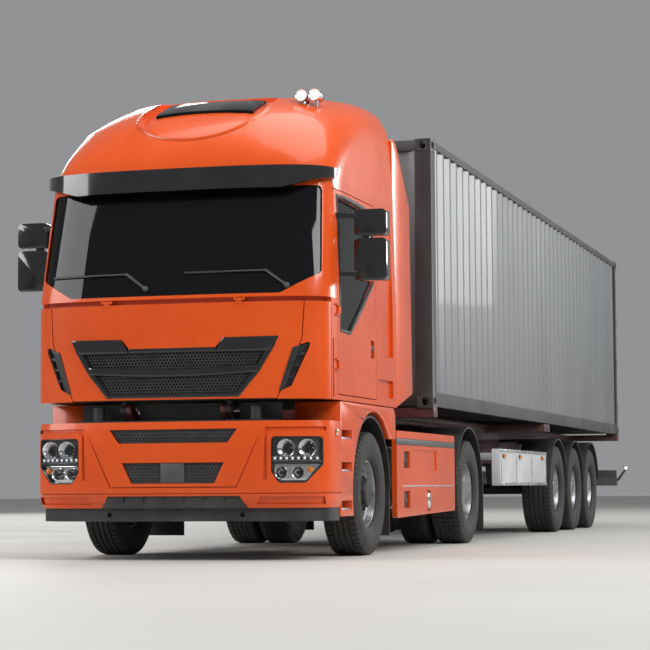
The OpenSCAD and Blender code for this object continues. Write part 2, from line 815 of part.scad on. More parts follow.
module cab_hinges() {
    color(STEEL) {
        for (y = lid_hinge_y) {
            translate([lid_hinge_x, 0, lid_hinge_z]) rod_y(hinge_r, y - 45, y + 45);
            for (e = [-45, 31])
                box(lid_hinge_x - 30, lid_hinge_x + 8, y + e, y + e + 14, lid_hinge_z - 8,
                    lid_top + 38 - seat);
        }
        both_sides() for (z = hinge_z) {
            translate([door_hinge_x, door_hinge_y, 0]) rod_z(hinge_r, z - 18, z + hinge_h + 18);
            for (e = [-18, hinge_h + 4])
                box(door_hinge_x - 8, door_front_x + 60, cab_half + seat, door_hinge_y + 8, z + e,
                    z + e + 14);
        }
    }
}
// Sunk field in the roof, bowl shaped seen from the front
scoop_half = 540;
scoop_drop = 285;
scoop_z = roof_top - 225;
scoop_depth = 34;
scoop_back = 1500;
module scoop() {
    difference() {
        prism_x(front_x - scoop_back, front_x + past) {
            translate([0, scoop_z]) scale([scoop_half / scoop_drop, 1]) circle(r = scoop_drop, $fn = 40);
            translate([-scoop_half, scoop_z]) square([2 * scoop_half, roof_top - scoop_z + past]);
        }
        cab_env(scoop_depth);
    }
}
hatch_half = 430;
hatch_front = 800;
hatch_len = 360;
hatch_rim = 40;
module hatch_shape() {
    translate([front_x - hatch_front - hatch_len, -hatch_half]) square([hatch_len, 2 * hatch_half]);
}
module cab_roof() {
    color(ORANGE) difference() {
        intersection() {
            cab_skin(0, cab_wall);
            box(cab_rear_x, front_x, -cab_w, cab_w, roof_split, roof_top + past);
        }
        scoop();
        prism_z(roof_split, roof_top + past) offset(delta = -hatch_rim) hatch_shape();
    }
}
module roof_window() {
    color(GLASS) intersection() {
        cab_skin(scoop_depth - 16, scoop_depth - seat);
        prism_z(roof_split, roof_top + past) hatch_shape();
    }
}
module windscreen() {
    color(GLASS) intersection() {
        cab_skin(12, 24);
        prism_x(post_x - 100, front_x + past) offset(delta = -seat) screen_shape();
    }
}
visor_z = roof_split - 95;
visor_chamfer = 370;
module sun_visor() {
    color(BLACK) difference() {
        intersection() {
            difference() {
                prism_z(visor_z, visor_z + visor_h) polygon(outline(front_x - 60, 620, cab_half + 6, 4.2,
                    cab_rear_x));
                prism_z(visor_z - 10, visor_z + visor_h - 14) polygon(outline(front_x - 95, 600,
                    cab_half - 28, 4.2, cab_rear_x));
            }
            prism_y(-cab_w, cab_w) polygon([
                [door_front_x - 60, visor_z + visor_h], [door_front_x + 60, visor_z], [front_x, visor_z],
                    [front_x, visor_z + visor_h]
            ]);
        }
        cab_env(-seat);
        both_sides() prism_x(post_x - 400, front_x + past) polygon([
            [cab_half - visor_chamfer, visor_z - past], [cab_half - visor_chamfer, visor_z],
            [cab_half - 20, visor_z + 95], [cab_half + past, visor_z + 95],
                [cab_half + past, visor_z - past]
        ]);
    }
}
vent_depth = 30;
vent_fins = 3;
module corner_deflectors() {
    color(ORANGE) difference() {
        intersection() {
            cab_skin(0, cab_wall - 5 - seat);
            box(post_x + 12, front_x + 10, -cab_w, cab_w, cab_bottom, lid_top);
        }
        prism_x(post_x - 100, front_x + past) offset(delta = shut_gap) lid_shape();
        both_sides() difference() {
            intersection() {
                prism_x(post_x - 100, front_x + past) vent_shape();
                cab_env(-20);
            }
            cab_env(vent_depth);
            for (i = [0 : vent_fins - 1])
                translate([0, 0, lid_knee + 40 - 105 * i]) rotate([35, 0, 0])
                    box(post_x - 100, front_x, -cab_w, cab_w, -6, 6);
        }
    }
}
fairing_t = 40;
fairing_top = roof_top - 260;
module side_fairings() {
    color(ORANGE) both_sides() prism_y(cab_half - 30 - fairing_t, cab_half - 30) rounded(30) polygon([
        [cab_rear_x - seat, cab_bottom + 30], [cab_rear_x - seat, fairing_top],
            [cab_rear_x - 160, fairing_top - 40],
        [cab_rear_x - fairing_reach + 70, roof_split + 80], [cab_rear_x - fairing_reach, cab_bottom + 150],
        [cab_rear_x - 150, cab_bottom + 20]
    ]);
}
roof_lamp_r = 48;
roof_lamp_x = front_x - 1150;
roof_lamp_z = roof_top - 75;
roof_lamp_y = [cab_half - 480, cab_half - 365];
module roof_lamps() {
    color(STEEL) difference() {
        for (y = roof_lamp_y) translate([roof_lamp_x, y, roof_lamp_z]) {
            rod_x(roof_lamp_r, -70, 60, $fn = 24);
            box(-25, 25, -14, 14, -170, 0);
        }
        cab_env(-seat);
    }
}
wiper_t = 3;
blade_h = 16;
blade_z = screen_bottom + 175;
blade_len = 680;
arm_run = 170;
arm_h = 22;
module wipers() {
    color(BLACK) difference() {
        intersection() {
            cab_env(-wiper_t);
            for (y = [-cab_half / 3 + 20, 0.62 * cab_half])
                prism_x(front_x - 300, front_x + past) {
                    translate([y - blade_len, blade_z]) square([blade_len, blade_h]);
                    polygon([[y, blade_z], [y, blade_z + arm_h], [y - 20, blade_z + arm_h],
                        [y - 20, blade_z]]);
                    polygon([[y, blade_z], [y, blade_z + arm_h], [y + arm_run, screen_bottom + 70],
                        [y + arm_run, screen_bottom + 45]]);
                }
        }
        cab_env(12 - seat);
    }
}
seat_y = cab_half / 2;
seat_w = 480;
seat_z = cab_bottom + 450;
seat_x0 = axle1_x + 110;
seat_x1 = axle1_x + 600;
bunk_l = 620;
module seat_shape() {
    polygon([
        [seat_x0 + 60, cab_bottom + floor_t + seat], [seat_x1 - 80, cab_bottom + floor_t + seat],
            [seat_x1 - 80, seat_z - 190],
        [seat_x1, seat_z - 150], [seat_x1, seat_z - 30], [seat_x1 - 40, seat_z],
            [seat_x0 + 150, seat_z - 20],
        [seat_x0 + 60, seat_z + 640], [seat_x0 + 20, seat_z + 680], [seat_x0 - 60, seat_z + 660],
            [seat_x0 + 20, seat_z - 60]
    ]);
}
module cab_seats() {
    color(DARK) {
        for (y = [-seat_y, seat_y]) {
            prism_y(y - seat_w / 2, y + seat_w / 2) seat_shape();
            prism_y(y - 130, y + 130) polygon([
                [seat_x0 - 62, seat_z + 640], [seat_x0 + 10, seat_z + 660], [seat_x0 - 5, seat_z + 870],
                    [seat_x0 - 75, seat_z + 860]
            ]);
        }
        box(cab_rear_x + cab_wall + seat, cab_rear_x + cab_wall + bunk_l, 145 - cab_half, cab_half - 145,
            cab_bottom + floor_t + seat, cab_bottom + 560);
    }
}
dash_x = front_x - 620;
steer_r = 220;
module dashboard() {
    color(DARK) {
        intersection() {
            cab_env(cab_wall + 30 + seat);
            prism_y(95 - cab_half, cab_half - 95) polygon([
                [dash_x + 150, cab_bottom + floor_t + seat], [front_x, cab_bottom + floor_t + seat],
                [front_x, screen_bottom - 20], [dash_x + 60, screen_bottom - 40],
                    [dash_x, screen_bottom - 250]
            ]);
        }
        translate([dash_x - 100, seat_y, screen_bottom - 190]) rotate([0, -50, 0]) {
            rotate_extrude($fn = 24) translate([steer_r, 0]) circle(r = 16, $fn = 8);
            rod_x(14, -steer_r, steer_r, $fn = 12);
            rod_z(35, -300, 12, $fn = 16);
        }
    }
}

// Front lid
lid_t = 45;
module front_lid() {
    color(ORANGE) {
        difference() {
            intersection() {
                cab_skin(0, lid_t);
                prism_x(front_x - 450, front_x + past) lid_shape();
            }
            prism_x(front_x - 450, front_x + past) grille_shape();
        }
        for (y = lid_hinge_y) difference() {
            union() {
                translate([lid_hinge_x, 0, lid_hinge_z]) rod_y(12, y - 25, y + 25);
                box(lid_hinge_x - 10, lid_hinge_x + 6, y - 25, y + 25, lid_top - 15, lid_hinge_z);
            }
            translate([lid_hinge_x, 0, lid_hinge_z]) rod_y(hinge_r + ring_fit, y - 50, y + 50);
        }
    }
}
// Honeycomb fields of the grille, cut into a plate, with the frame and the arched bar left standing
cell = 112;
cell_wall = 20;
grille_frame = 30;
module cells() {
    for (j = [0 : 5]) for (i = [-8 : 8])
        translate([(i + 0.5 * (j % 2)) * cell, screen_bottom - 790 + j * cell * sqrt(3) / 2])
            rotate(30) circle(r = (cell - cell_wall) / sqrt(3), $fn = 6);
}
module front_grille() {
    color(BLACK) difference() {
        intersection() {
            cab_skin(8, 40);
            prism_x(front_x - 450, front_x + past) offset(delta = -seat) grille_shape();
        }
        difference() {
            prism_x(front_x - 450, front_x + past) difference() {
                intersection() {
                    cells();
                    offset(delta = -grille_frame) grille_shape();
                }
                grille_bar_shape();
            }
            cab_env(28);
        }
    }
}

// Doors
handle_x = door_rear_x + 70;
handle_z = 1660;
handle_w = 110;
handle_h = 150;
handle_dent = 28;
module door(s) {
    color(ORANGE) mirror([0, s < 0 ? 1 : 0, 0]) {
        difference() {
            union() {
                difference() {
                    intersection() {
                        cab_skin(0, cab_wall);
                        prism_y(100, cab_w) offset(delta = -shut_gap) door_shape();
                    }
                    prism_y(100, cab_w) window_shape();
                    box(handle_x, handle_x + handle_w, cab_half - handle_dent, cab_half + past, handle_z,
                        handle_z + handle_h);
                }
                for (z = hinge_z) {
                    translate([door_hinge_x, door_hinge_y, 0]) rod_z(hinge_ring_r, z, z + hinge_h, $fn = 24);
                    box(door_hinge_x - 70, door_hinge_x, cab_half - 20, door_hinge_y + 6, z, z + hinge_h);
                }
            }
            for (z = hinge_z) translate([door_hinge_x, door_hinge_y, 0]) {
                rod_z(hinge_r + ring_fit, z - past, z + hinge_h + past, $fn = 24);
                rod_z(hinge_ring_r + 4, z - 24, z, $fn = 24);
                rod_z(hinge_ring_r + 4, z + hinge_h, z + hinge_h + 24, $fn = 24);
            }
        }
        box(handle_x + 20, handle_x + handle_w - 20, cab_half - handle_dent - lap, cab_half - 4,
            handle_z + 70, handle_z + 100);
    }
}
module door_left() {
    door(1);
}
module door_right() {
    door(-1);
}
module door_glass(s) {
    color(GLASS) mirror([0, s < 0 ? 1 : 0, 0]) intersection() {
        cab_skin(16, 28);
        prism_y(100, cab_w) offset(delta = -seat) window_shape();
    }
}
module door_glass_left() {
    door_glass(1);
}
module door_glass_right() {
    door_glass(-1);
}
mirror_x = door_front_x - 230;
mirror_y0 = cab_half + 95;
mirror_w = 270;
mirror_z0 = screen_bottom + 130;
mirror_z1 = screen_bottom + 495;
module door_mirror(s) {
    color(BLACK) mirror([0, s < 0 ? 1 : 0, 0]) difference() {
        union() {
            prism_x(mirror_x - 60, mirror_x + 60) rounded(40) translate([mirror_y0,
                mirror_z0]) square([mirror_w, 345]);
            prism_x(mirror_x - 60, mirror_x + 60) rounded(40) translate([mirror_y0,
                mirror_z1]) square([mirror_w, 215]);
            box(mirror_x - 30, mirror_x + 30, mirror_y0 + 60, mirror_y0 + 120, mirror_z1 - 30,
                mirror_z1 + 10);
            for (z = [mirror_z0 + 55, mirror_z1 + 160])
                prism_z(z - 20, z + 20) polygon([
                    [mirror_x - 20, mirror_y0 + 60], [mirror_x + 30, mirror_y0 + 60],
                    [door_front_x - 30, cab_half - 50], [door_front_x - 75, cab_half - 50]
                ]);
        }
        cab_env(-seat);
    }
}
module mirror_left() {
    door_mirror(1);
}
module mirror_right() {
    door_mirror(-1);
}

// Wheels, drawn about Z with the outer face up
function tyre_section(r, w, bead) = [
    [bead, -0.40 * w], [bead + 14, -0.43 * w], [bead + 60, -0.48 * w], [bead + 110, -0.5 * w],
        [r - 80, -0.49 * w],
    [r - 30, -0.465 * w], [r - 8, -0.43 * w], [r, -0.37 * w],
    [r, 0.37 * w], [r - 8, 0.43 * w], [r - 30, 0.465 * w], [r - 80, 0.49 * w],
    [bead + 110, 0.5 * w], [bead + 60, 0.48 * w], [bead + 14, 0.43 * w], [bead, 0.40 * w]
];
module tyre(d, w) {
    color(BLACK) rotate_extrude($fn = 96) polygon(tyre_section(d / 2, w, rim_r + seat));
}
lip = 10;
barrel_t = 18;
// Rim with its disc, foot and face are the heights of the disc at the barrel and at the hub
module rim(w, foot, face, hub_low, hub_top, bore, capped = true) {
    b = 0.36 * w;
    cap_r = capped ? 0 : bore;
    color(STEEL) difference() {
        rotate_extrude($fn = 96) polygon([
            [rim_r - barrel_t, -b], [rim_r, -b], [rim_r, b], [rim_r - barrel_t, b],
                [rim_r - barrel_t, foot],
            [150, face], [110, face], [110, hub_top - 15], [95, hub_top], [cap_r, hub_top],
                [cap_r, hub_top - 20],
            [bore, hub_top - 20], [bore, hub_low], [150, hub_low], [150, face - 16],
                [rim_r - barrel_t, foot - 16]
        ]);
        for (a = [0 : 36 : 359])
            rotate(a) translate([215, 0, -w]) cylinder(r = 24, h = 2 * w, $fn = 24);
    }
    color(STEEL) for (a = [18 : 36 : 359])
        rotate(a) translate([132, 0, face - lap]) cylinder(r = 14, h = 26, $fn = 6);
}
module hub_at(x, y, z, s) {
    mirror([0, s < 0 ? 1 : 0, 0]) translate([x, y, z]) rotate([-90, 0, 0]) children();
}
module front_wheel(s) {
    hub_at(axle1_x, front_track_half, hub_z, s) {
        tyre(tyre_d, tyre_w);
        rim(tyre_w, 40, 75, -60, 130, spindle_r + fit);
    }
}
module drive_wheel(s) {
    hub_at(axle2_x, twin_mid, hub_z, s) {
        for (e = [-0.5, 0.5])
            translate([0, 0, e * twin_pitch]) tyre(tyre_d, tyre_w);
        translate([0, 0, twin_pitch / 2]) rim(tyre_w, -60, -150, -165, 40, drive_spindle_r + fit);
        translate([0, 0, -twin_pitch / 2]) mirror([0, 0, 1])
            rim(tyre_w, -60, -150, -165, 40, drive_spindle_r + fit, false);
    }
}
module trailer_wheel(i, s) {
    hub_at(bogie_x - (i - 1) * axle_pitch, tyre_face - trailer_tyre_w / 2, trailer_hub_z, s) {
        tyre(trailer_tyre_d, trailer_tyre_w);
        rim(trailer_tyre_w, -10, -40, -150, 140, trailer_spindle_r + fit);
    }
}
module wheel_front_left() {
    front_wheel(1);
}
module wheel_front_right() {
    front_wheel(-1);
}
module wheel_drive_left() {
    drive_wheel(1);
}
module wheel_drive_right() {
    drive_wheel(-1);
}
module wheel_trailer_1_left() {
    trailer_wheel(1, 1);
}
module wheel_trailer_1_right() {
    trailer_wheel(1, -1);
}
module wheel_trailer_2_left() {
    trailer_wheel(2, 1);
}
module wheel_trailer_2_right() {
    trailer_wheel(2, -1);
}
module wheel_trailer_3_left() {
    trailer_wheel(3, 1);
}
module wheel_trailer_3_right() {
    trailer_wheel(3, -1);
}

// Trailer
beam_y = 500;
beam_w = 140;
web_half = 5;
beam_top = box_z - 12;
neck_z = coupling_z + 14;
beam_low = 850;
flange_t = 16;
neck_end_x = kingpin_x - 1950;
beam_rear_x = box_rear_x + 160;
tail_x = bogie_x - 2 * axle_pitch - 1080;
tail_z = 1060;
module beam_shape() {
    polygon([
        [beam_rear_x, beam_top], [box_front_x - 60, beam_top], [box_front_x - 60, neck_z],
            [neck_end_x, neck_z],
        [neck_end_x - 350, beam_low], [tail_x, beam_low], [tail_x - 400, tail_z], [beam_rear_x, tail_z]
    ]);
}
bolster_x = [box_front_x - 180, box_front_x - box_len / 2, box_front_x - box_len / 2 - 204,
    box_rear_x + 20];
module trailer_frame() {
    color(CHASSIS) {
        both_sides() difference() {
            prism_y(beam_y - beam_w / 2, beam_y + beam_w / 2) beam_shape();
            for (e = [-1, 1])
                prism_y(beam_y + e * (beam_w / 4 + web_half) - beam_w / 4,
                    beam_y + e * (beam_w / 4 + web_half) + beam_w / 4)
                    offset(delta = -flange_t) beam_shape();
        }
        for (x = bolster_x)
            box(x, x + 160, -box_w / 2, box_w / 2, beam_top - 78, box_z - seat);
        for (x = [neck_end_x - 500, bogie_x + 700, bogie_x - 650, bogie_x - 1960, bogie_x - 3300])
            box(x - 50, x + 50, -beam_y, beam_y, beam_low + 120, beam_low + 280);
        box(kingpin_x - 650, box_front_x - 60, -beam_y - 60, beam_y + 60, coupling_z + seat, neck_z + lap);
        translate([kingpin_x, 0, 0]) rod_z(kingpin_r, coupling_z - 85, neck_z);
    }
}
module trailer_axles() {
    color(DARK) for (i = [0 : 2]) {
        x = bogie_x - i * axle_pitch;
        translate([x, 0, trailer_hub_z]) {
            rod_y(64, -830, 830);
            rod_y(trailer_spindle_r, -tyre_face + trailer_tyre_w / 2 - 90,
                tyre_face - trailer_tyre_w / 2 + 90);
        }
        both_sides() {
            prism_y(beam_y - 45, beam_y + 45) polygon([
                [x + 520, 690], [x + 430, 560], [x - 380, 480], [x - 380, 560], [x, 640], [x + 430, 720]
            ]);
            prism_y(beam_y - 60, beam_y + 60) polygon([
                [x + 380, beam_low - seat], [x + 620, beam_low - seat], [x + 540, 600], [x + 420, 600]
            ]);
            translate([x - 290, beam_y, 0]) rod_z(60, 520, beam_low - seat);
        }
    }
}
leg_x = kingpin_x - 2550;
module landing_legs() {
    color(DARK) {
        both_sides() {
            box(leg_x - 60, leg_x + 60, beam_y + beam_w / 2 + seat, beam_y + beam_w / 2 + 120, 520,
                beam_top - 100);
            box(leg_x - 45, leg_x + 45, beam_y + beam_w / 2 + 15, beam_y + beam_w / 2 + 105, 440, 540);
            box(leg_x - 130, leg_x + 130, beam_y + beam_w / 2 - 20, beam_y + beam_w / 2 + 140, 415, 445);
        }
        translate([leg_x, 0, 700]) rod_y(20, -beam_y - beam_w / 2 - 10, beam_y + beam_w / 2 + 10);
    }
}
trailer_guard_r = 612;
module trailer_mudguards() {
    color(BLACK) both_sides() for (i = [0 : 2]) {
        x = bogie_x - i * axle_pitch;
        arch_ring(x, trailer_hub_z, trailer_guard_r, 12, 168, tyre_face - trailer_tyre_w - 15,
            tyre_face + 5);
        translate([x, 0, trailer_hub_z + trailer_guard_r - 6]) rod_y(20, beam_y + web_half + seat,
            tyre_face - 60);
    }
}
guard_x1 = kingpin_x - guard_lead;
guard_x0 = bogie_x + trailer_guard_r + 240;
guard_len = guard_x1 - guard_x0;
guard_z0 = 580;
guard_z1 = 980;
guard_t_box = 95;
module side_guards() {
    color(WHITE) both_sides() {
        box(guard_x0, guard_x1, tyre_face - guard_t_box, tyre_face, guard_z0, guard_z1);
        for (t = [0.14, 0.5, 0.82])
            box(guard_x0 + t * guard_len - 30, guard_x0 + t * guard_len + 30, beam_y + web_half + seat,
                tyre_face - guard_t_box + 5, guard_z1 - 95, guard_z1 - 35);
    }
}
bar_x = box_rear_x + 60;
module rear_underrun() {
    color(DARK) {
        box(bar_x, bar_x + 100, -1200, 1200, 570, 690);
        both_sides() {
            box(bar_x + 10, beam_rear_x + 120, beam_y - 30, beam_y + 30, 680, tail_z - seat);
            box(bar_x, bar_x + 60, 760, 1190, 685, 800);
        }
    }
}

// Container
rear_set = 72;
rail_low_h = 150;
rail_top_h = 70;
rail_w = 60;
cast_l = 178;
cast_w = 162;
cast_h = 118;
post_w = cast_w;
post_l = cast_l;
cast_hole_l = 110;
cast_hole_h = 60;
cast_hole_t = 42;
header_h = 110;
floor_z = box_z + rail_low_h;
box_top = box_z + box_h;
box_half = box_w / 2;
door_lug_z = [box_z + 330, box_z + 1000, box_z + 1640, box_z + 2230];
box_hinge_x = box_rear_x + 20;
box_hinge_y = box_half - 16;
box_hinge_h = 90;
box_pin_r = 10;
floor_beams = 15;
module long_hole(l, h) {
    square([l - h, h], center = true);
    for (e = [-1, 1])
        translate([e * (l - h) / 2, 0]) circle(r = h / 2);
}
module casting_holes(x) {
    for (z = [box_z, box_top - cast_h]) {
        prism_y(box_half - cast_hole_t, box_half + past) translate([x, z + cast_h / 2])
            long_hole(cast_hole_l, cast_hole_h);
        prism_x(x - cast_l, x + cast_l) translate([box_half - cast_w / 2, z + cast_h / 2])
            rotate(90) long_hole(cast_hole_h + 20, cast_hole_h);
    }
    prism_z(box_top - cast_hole_t, box_top + past) translate([x, box_half - cast_w / 2])
        long_hole(cast_hole_l, cast_hole_h);
}
module container_frame() {
    color(DARK) {
        both_sides() {
            difference() {
                for (z = [box_z, box_top - cast_h]) {
                    box(box_front_x - cast_l, box_front_x, box_half - cast_w, box_half, z, z + cast_h);
                    box(box_rear_x, box_rear_x + cast_l, box_half - cast_w, box_half, z, z + cast_h);
                }
                casting_holes(box_front_x - cast_l / 2);
                casting_holes(box_rear_x + cast_l / 2);
            }
            box(box_front_x - post_l, box_front_x - 4, box_half - post_w, box_half - 2,
                box_z + cast_h - lap, box_top - cast_h + lap);
            box(box_rear_x + rear_set, box_rear_x + cast_l, box_half - post_w, box_half - 2,
                box_z + cast_h - lap,
                box_top - cast_h + lap);
            for (z = [box_z + 14, box_top - 8 - rail_top_h])
                box(box_rear_x + cast_l - lap, box_front_x - cast_l + lap, box_half - rail_w, box_half - 4,
                    z,
                    z < box_z + cast_h ? floor_z : box_top - 8);
            for (z = door_lug_z) {
                translate([box_hinge_x, box_hinge_y, 0]) rod_z(box_pin_r, z - 16, z + box_hinge_h + 16);
                for (e = [-16, box_hinge_h + 3])
                    box(box_hinge_x - 10, box_rear_x + rear_set + lap, box_hinge_y - 12, box_hinge_y + 12,
                        z + e, z + e + 13);
            }
        }
        for (z = [box_z + 20, box_top - header_h])
            for (x = [box_front_x - post_l, box_rear_x + rear_set])
                box(x, x + (x > 0 ? post_l - 10 : cast_l - rear_set), -box_half + cast_w - lap,
                    box_half - cast_w + lap, z,
                    z < floor_z ? floor_z : box_top - 10);
        box(box_rear_x + cast_l - lap, box_front_x - post_l + lap, -box_half + rail_w - lap,
            box_half - rail_w + lap,
            floor_z - 40, floor_z);
        for (i = [1 : floor_beams])
            box(box_rear_x + i * box_len / (floor_beams + 1) - 25,
                box_rear_x + i * box_len / (floor_beams + 1) + 25,
                -box_half + rail_w - lap, box_half - rail_w + lap, box_z + 25, floor_z - 30);
    }
}
sheet_t = 5;
// Trapezoid wave from 0 to length with the sheet thickness
function wave(n, pitch, depth, o) = [
    for (i = [0 : n - 1]) for (k = [[0, 0], [0.26, 0], [0.5, 1], [0.76, 1]])
        [(i + k[0]) * pitch, k[1] * depth + o]
];
function back_to_front(v) = [for (i = [len(v) - 1 : -1 : 0]) v[i]];
function wave_sheet(n, length, depth, t) = concat(
    wave(n, length / n, depth, 0), [[length, 0]], [[length, t]],
        back_to_front(wave(n, length / n, depth, t))
);
wall_x0 = box_rear_x + cast_l + seat;
wall_x1 = box_front_x - post_l - seat;
module container_sides() {
    color(GREY) both_sides() translate([wall_x0, box_half - 12 - wave_depth, 0])
        prism_z(floor_z + seat, box_top - 8 - rail_top_h - seat)
            polygon(wave_sheet(side_waves, wall_x1 - wall_x0, wave_depth - sheet_t, sheet_t));
}
front_waves = 7;
front_half = box_half - post_w - seat;
module container_front() {
    color(GREY) translate([box_front_x - 14, -front_half, 0]) rotate(90)
        prism_z(floor_z + seat, box_top - header_h - seat)
            polygon(wave_sheet(front_waves, 2 * front_half, wave_depth - sheet_t, sheet_t));
}
roof_waves = 52;
module container_roof() {
    color(GREY) translate([box_front_x - post_l - seat, 0, box_top - 30]) rotate([0, 0, 180])
        prism_y(-box_half + rail_w + seat, box_half - rail_w - seat)
            polygon(wave_sheet(roof_waves, wall_x1 - wall_x0, 16, sheet_t));
}
leaf_t = 50;
leaf_x = box_rear_x + rear_set + 20;
leaf_z0 = floor_z + 12;
leaf_z1 = box_top - 122;
leaf_y1 = box_half - post_w - 10;
lock_y = [300, 760];
module box_door(s) {
    color(GREY) mirror([0, s < 0 ? 1 : 0, 0]) {
        difference() {
            box(leaf_x, leaf_x + leaf_t, 7, leaf_y1, leaf_z0, leaf_z1);
            for (k = [0 : 4])
                prism_y(90, leaf_y1 - 80) polygon([
                    [leaf_x - 1, leaf_z0 + 130 + k * 430], [leaf_x + 30, leaf_z0 + 160 + k * 430],
                    [leaf_x + 30, leaf_z0 + 440 + k * 430], [leaf_x - 1, leaf_z0 + 470 + k * 430]
                ]);
        }
        for (y = lock_y) {
            translate([leaf_x - 24, y, 0]) rod_z(16, leaf_z0 + 30, leaf_z1 - 30);
            for (z = [leaf_z0 + 60, leaf_z0 + 560, leaf_z0 + 1420, leaf_z1 - 120])
                box(leaf_x - 34, leaf_x + lap, y - 34, y + 34, z, z + 60);
        }
        for (z = door_lug_z) difference() {
            union() {
                translate([box_hinge_x, box_hinge_y, 0]) rod_z(17, z, z + box_hinge_h);
                box(box_hinge_x, box_hinge_x + 44, box_hinge_y - 14, box_hinge_y + 14, z, z + box_hinge_h);
                box(box_hinge_x + 30, box_hinge_x + 44, leaf_y1 - 120, box_hinge_y + 14, z,
                    z + box_hinge_h);
                box(box_hinge_x + 30, leaf_x + lap, leaf_y1 - 120, leaf_y1 - 4, z, z + box_hinge_h);
            }
            translate([box_hinge_x, box_hinge_y, 0]) rod_z(box_pin_r + fit, z - 10, z + box_hinge_h + 10);
        }
    }
}
module container_door_left() {
    box_door(1);
}
module container_door_right() {
    box_door(-1);
}

tractor_frame();
front_axle();
drive_axle();
engine_block();
front_bumper();
bumper_valance();
headlamps();
entry_steps();
side_skirts();
fuel_tanks();
tractor_mudguards();
fifth_wheel();
cab_floor();
cab_rear_wall();
cab_sides();
cab_front();
cab_hinges();
cab_roof();
roof_window();
windscreen();
sun_visor();
corner_deflectors();
side_fairings();
roof_lamps();
wipers();
cab_seats();
dashboard();
front_lid();
front_grille();
door_left();
door_right();
door_glass_left();
door_glass_right();
mirror_left();
mirror_right();
knuckle_left();
knuckle_right();
wheel_front_left();
wheel_front_right();
wheel_drive_left();
wheel_drive_right();
wheel_trailer_1_left();
wheel_trailer_1_right();
wheel_trailer_2_left();
wheel_trailer_2_right();
wheel_trailer_3_left();
wheel_trailer_3_right();
trailer_frame();
trailer_axles();
landing_legs();
trailer_mudguards();
side_guards();
rear_underrun();
container_frame();
container_sides();
container_front();
container_roof();
container_door_left();
container_door_right();
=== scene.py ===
"""Dressed scene of an articulated container lorry."""
import math

import bpy
from mathutils import Matrix, Vector


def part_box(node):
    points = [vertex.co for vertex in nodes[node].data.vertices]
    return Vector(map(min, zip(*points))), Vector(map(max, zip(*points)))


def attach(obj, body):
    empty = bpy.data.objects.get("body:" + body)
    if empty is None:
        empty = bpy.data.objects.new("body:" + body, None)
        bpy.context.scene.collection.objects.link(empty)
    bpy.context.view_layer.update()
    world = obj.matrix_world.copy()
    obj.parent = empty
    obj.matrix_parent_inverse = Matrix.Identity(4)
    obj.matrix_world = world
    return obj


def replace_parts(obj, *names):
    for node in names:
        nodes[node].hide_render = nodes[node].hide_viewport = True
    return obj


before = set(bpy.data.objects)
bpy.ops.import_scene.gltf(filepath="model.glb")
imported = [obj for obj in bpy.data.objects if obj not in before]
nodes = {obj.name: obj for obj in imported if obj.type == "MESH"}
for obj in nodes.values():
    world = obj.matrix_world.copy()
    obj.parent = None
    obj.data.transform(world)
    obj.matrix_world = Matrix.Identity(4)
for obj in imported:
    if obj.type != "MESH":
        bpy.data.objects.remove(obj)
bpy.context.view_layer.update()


def middle(node):
    lo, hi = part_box(node)
    return (lo + hi) / 2


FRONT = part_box("front_bumper")[1].x
AX1 = middle("wheel_front_left").x
AX2 = middle("wheel_drive_left").x
BOGIE = [middle("wheel_trailer_%d_left" % i).x for i in (1, 2, 3)]
BOX_LO, BOX_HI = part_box("container_frame")

# Height, setback, nose length, half width and squareness of the cab and bumper skins
CAB = [(1.27, 0, 0.4, 1.245, 5), (2.08, 0, 0.4, 1.245, 5), (3.05, 0.205, 0.43, 1.22, 4.6),
       (3.1835, 0.25, 0.5, 1.216, 4.1), (3.317, 0.31, 0.6, 1.21, 3.6), (3.584, 0.52, 0.85, 1.197, 2.9),
       (3.7442, 0.78, 1.0, 1.163, 2.5), (3.8777, 1.11, 0.9, 1.08, 2.3), (3.94, 1.48, 0.6, 0.905, 2.2)]
BUMPER = [(0.415, 0.045, 0.42, 1.235, 5), (0.47, 0.022, 0.41, 1.245, 5), (0.52, 0.008, 0.4, 1.249, 5),
          (0.9, 0, 0.4, 1.249, 5), (1.04, 0.006, 0.4, 1.248, 5), (1.1, 0.018, 0.4, 1.245, 5)]
# How far the corners of both stand back
SWEEP = 0.06
# Sides of the lorry and their direction along y
SIDES = (("left", 1), ("right", -1))


def layer_x(layer, y):
    _, setback, length, half, power = layer
    share = min(1.0, abs(y) / half)
    nose = (1 - share ** power) ** (1 / power)
    return FRONT - setback - length + length * nose - SWEEP * share * share


def skin(layers, y, z):
    """Foremost x of a skin at a place across the lorry and a height, between two of its layers."""
    z = max(layers[0][0], min(layers[-1][0], z))
    for a, b in zip(layers, layers[1:]):
        if z <= b[0]:
            t = (z - a[0]) / (b[0] - a[0])
            return layer_x(a, y) * (1 - t) + layer_x(b, y) * t


# Materials
def new_material(name):
    mat = bpy.data.materials.new(name)
    mat.use_nodes = True
    return mat, mat.node_tree, mat.node_tree.nodes["Principled BSDF"]


def noise_node(tree, coords, scale, detail, stretch=None):
    source = coords
    if stretch:
        mapping = tree.nodes.new("ShaderNodeMapping")
        mapping.inputs["Scale"].default_value = stretch
        tree.links.new(coords, mapping.inputs["Vector"])
        source = mapping.outputs["Vector"]
    noise = tree.nodes.new("ShaderNodeTexNoise")
    noise.inputs["Scale"].default_value = scale
    noise.inputs["Detail"].default_value = detail
    tree.links.new(source, noise.inputs["Vector"])
    return noise.outputs["Fac"]


def spread(tree, value, lo, hi, low=0.3, high=0.7):
    node = tree.nodes.new("ShaderNodeMapRange")
    for key, number in (("From Min", low), ("From Max", high), ("To Min", lo), ("To Max", hi)):
        node.inputs[key].default_value = number
    tree.links.new(value, node.inputs["Value"])
    return node.outputs["Result"]


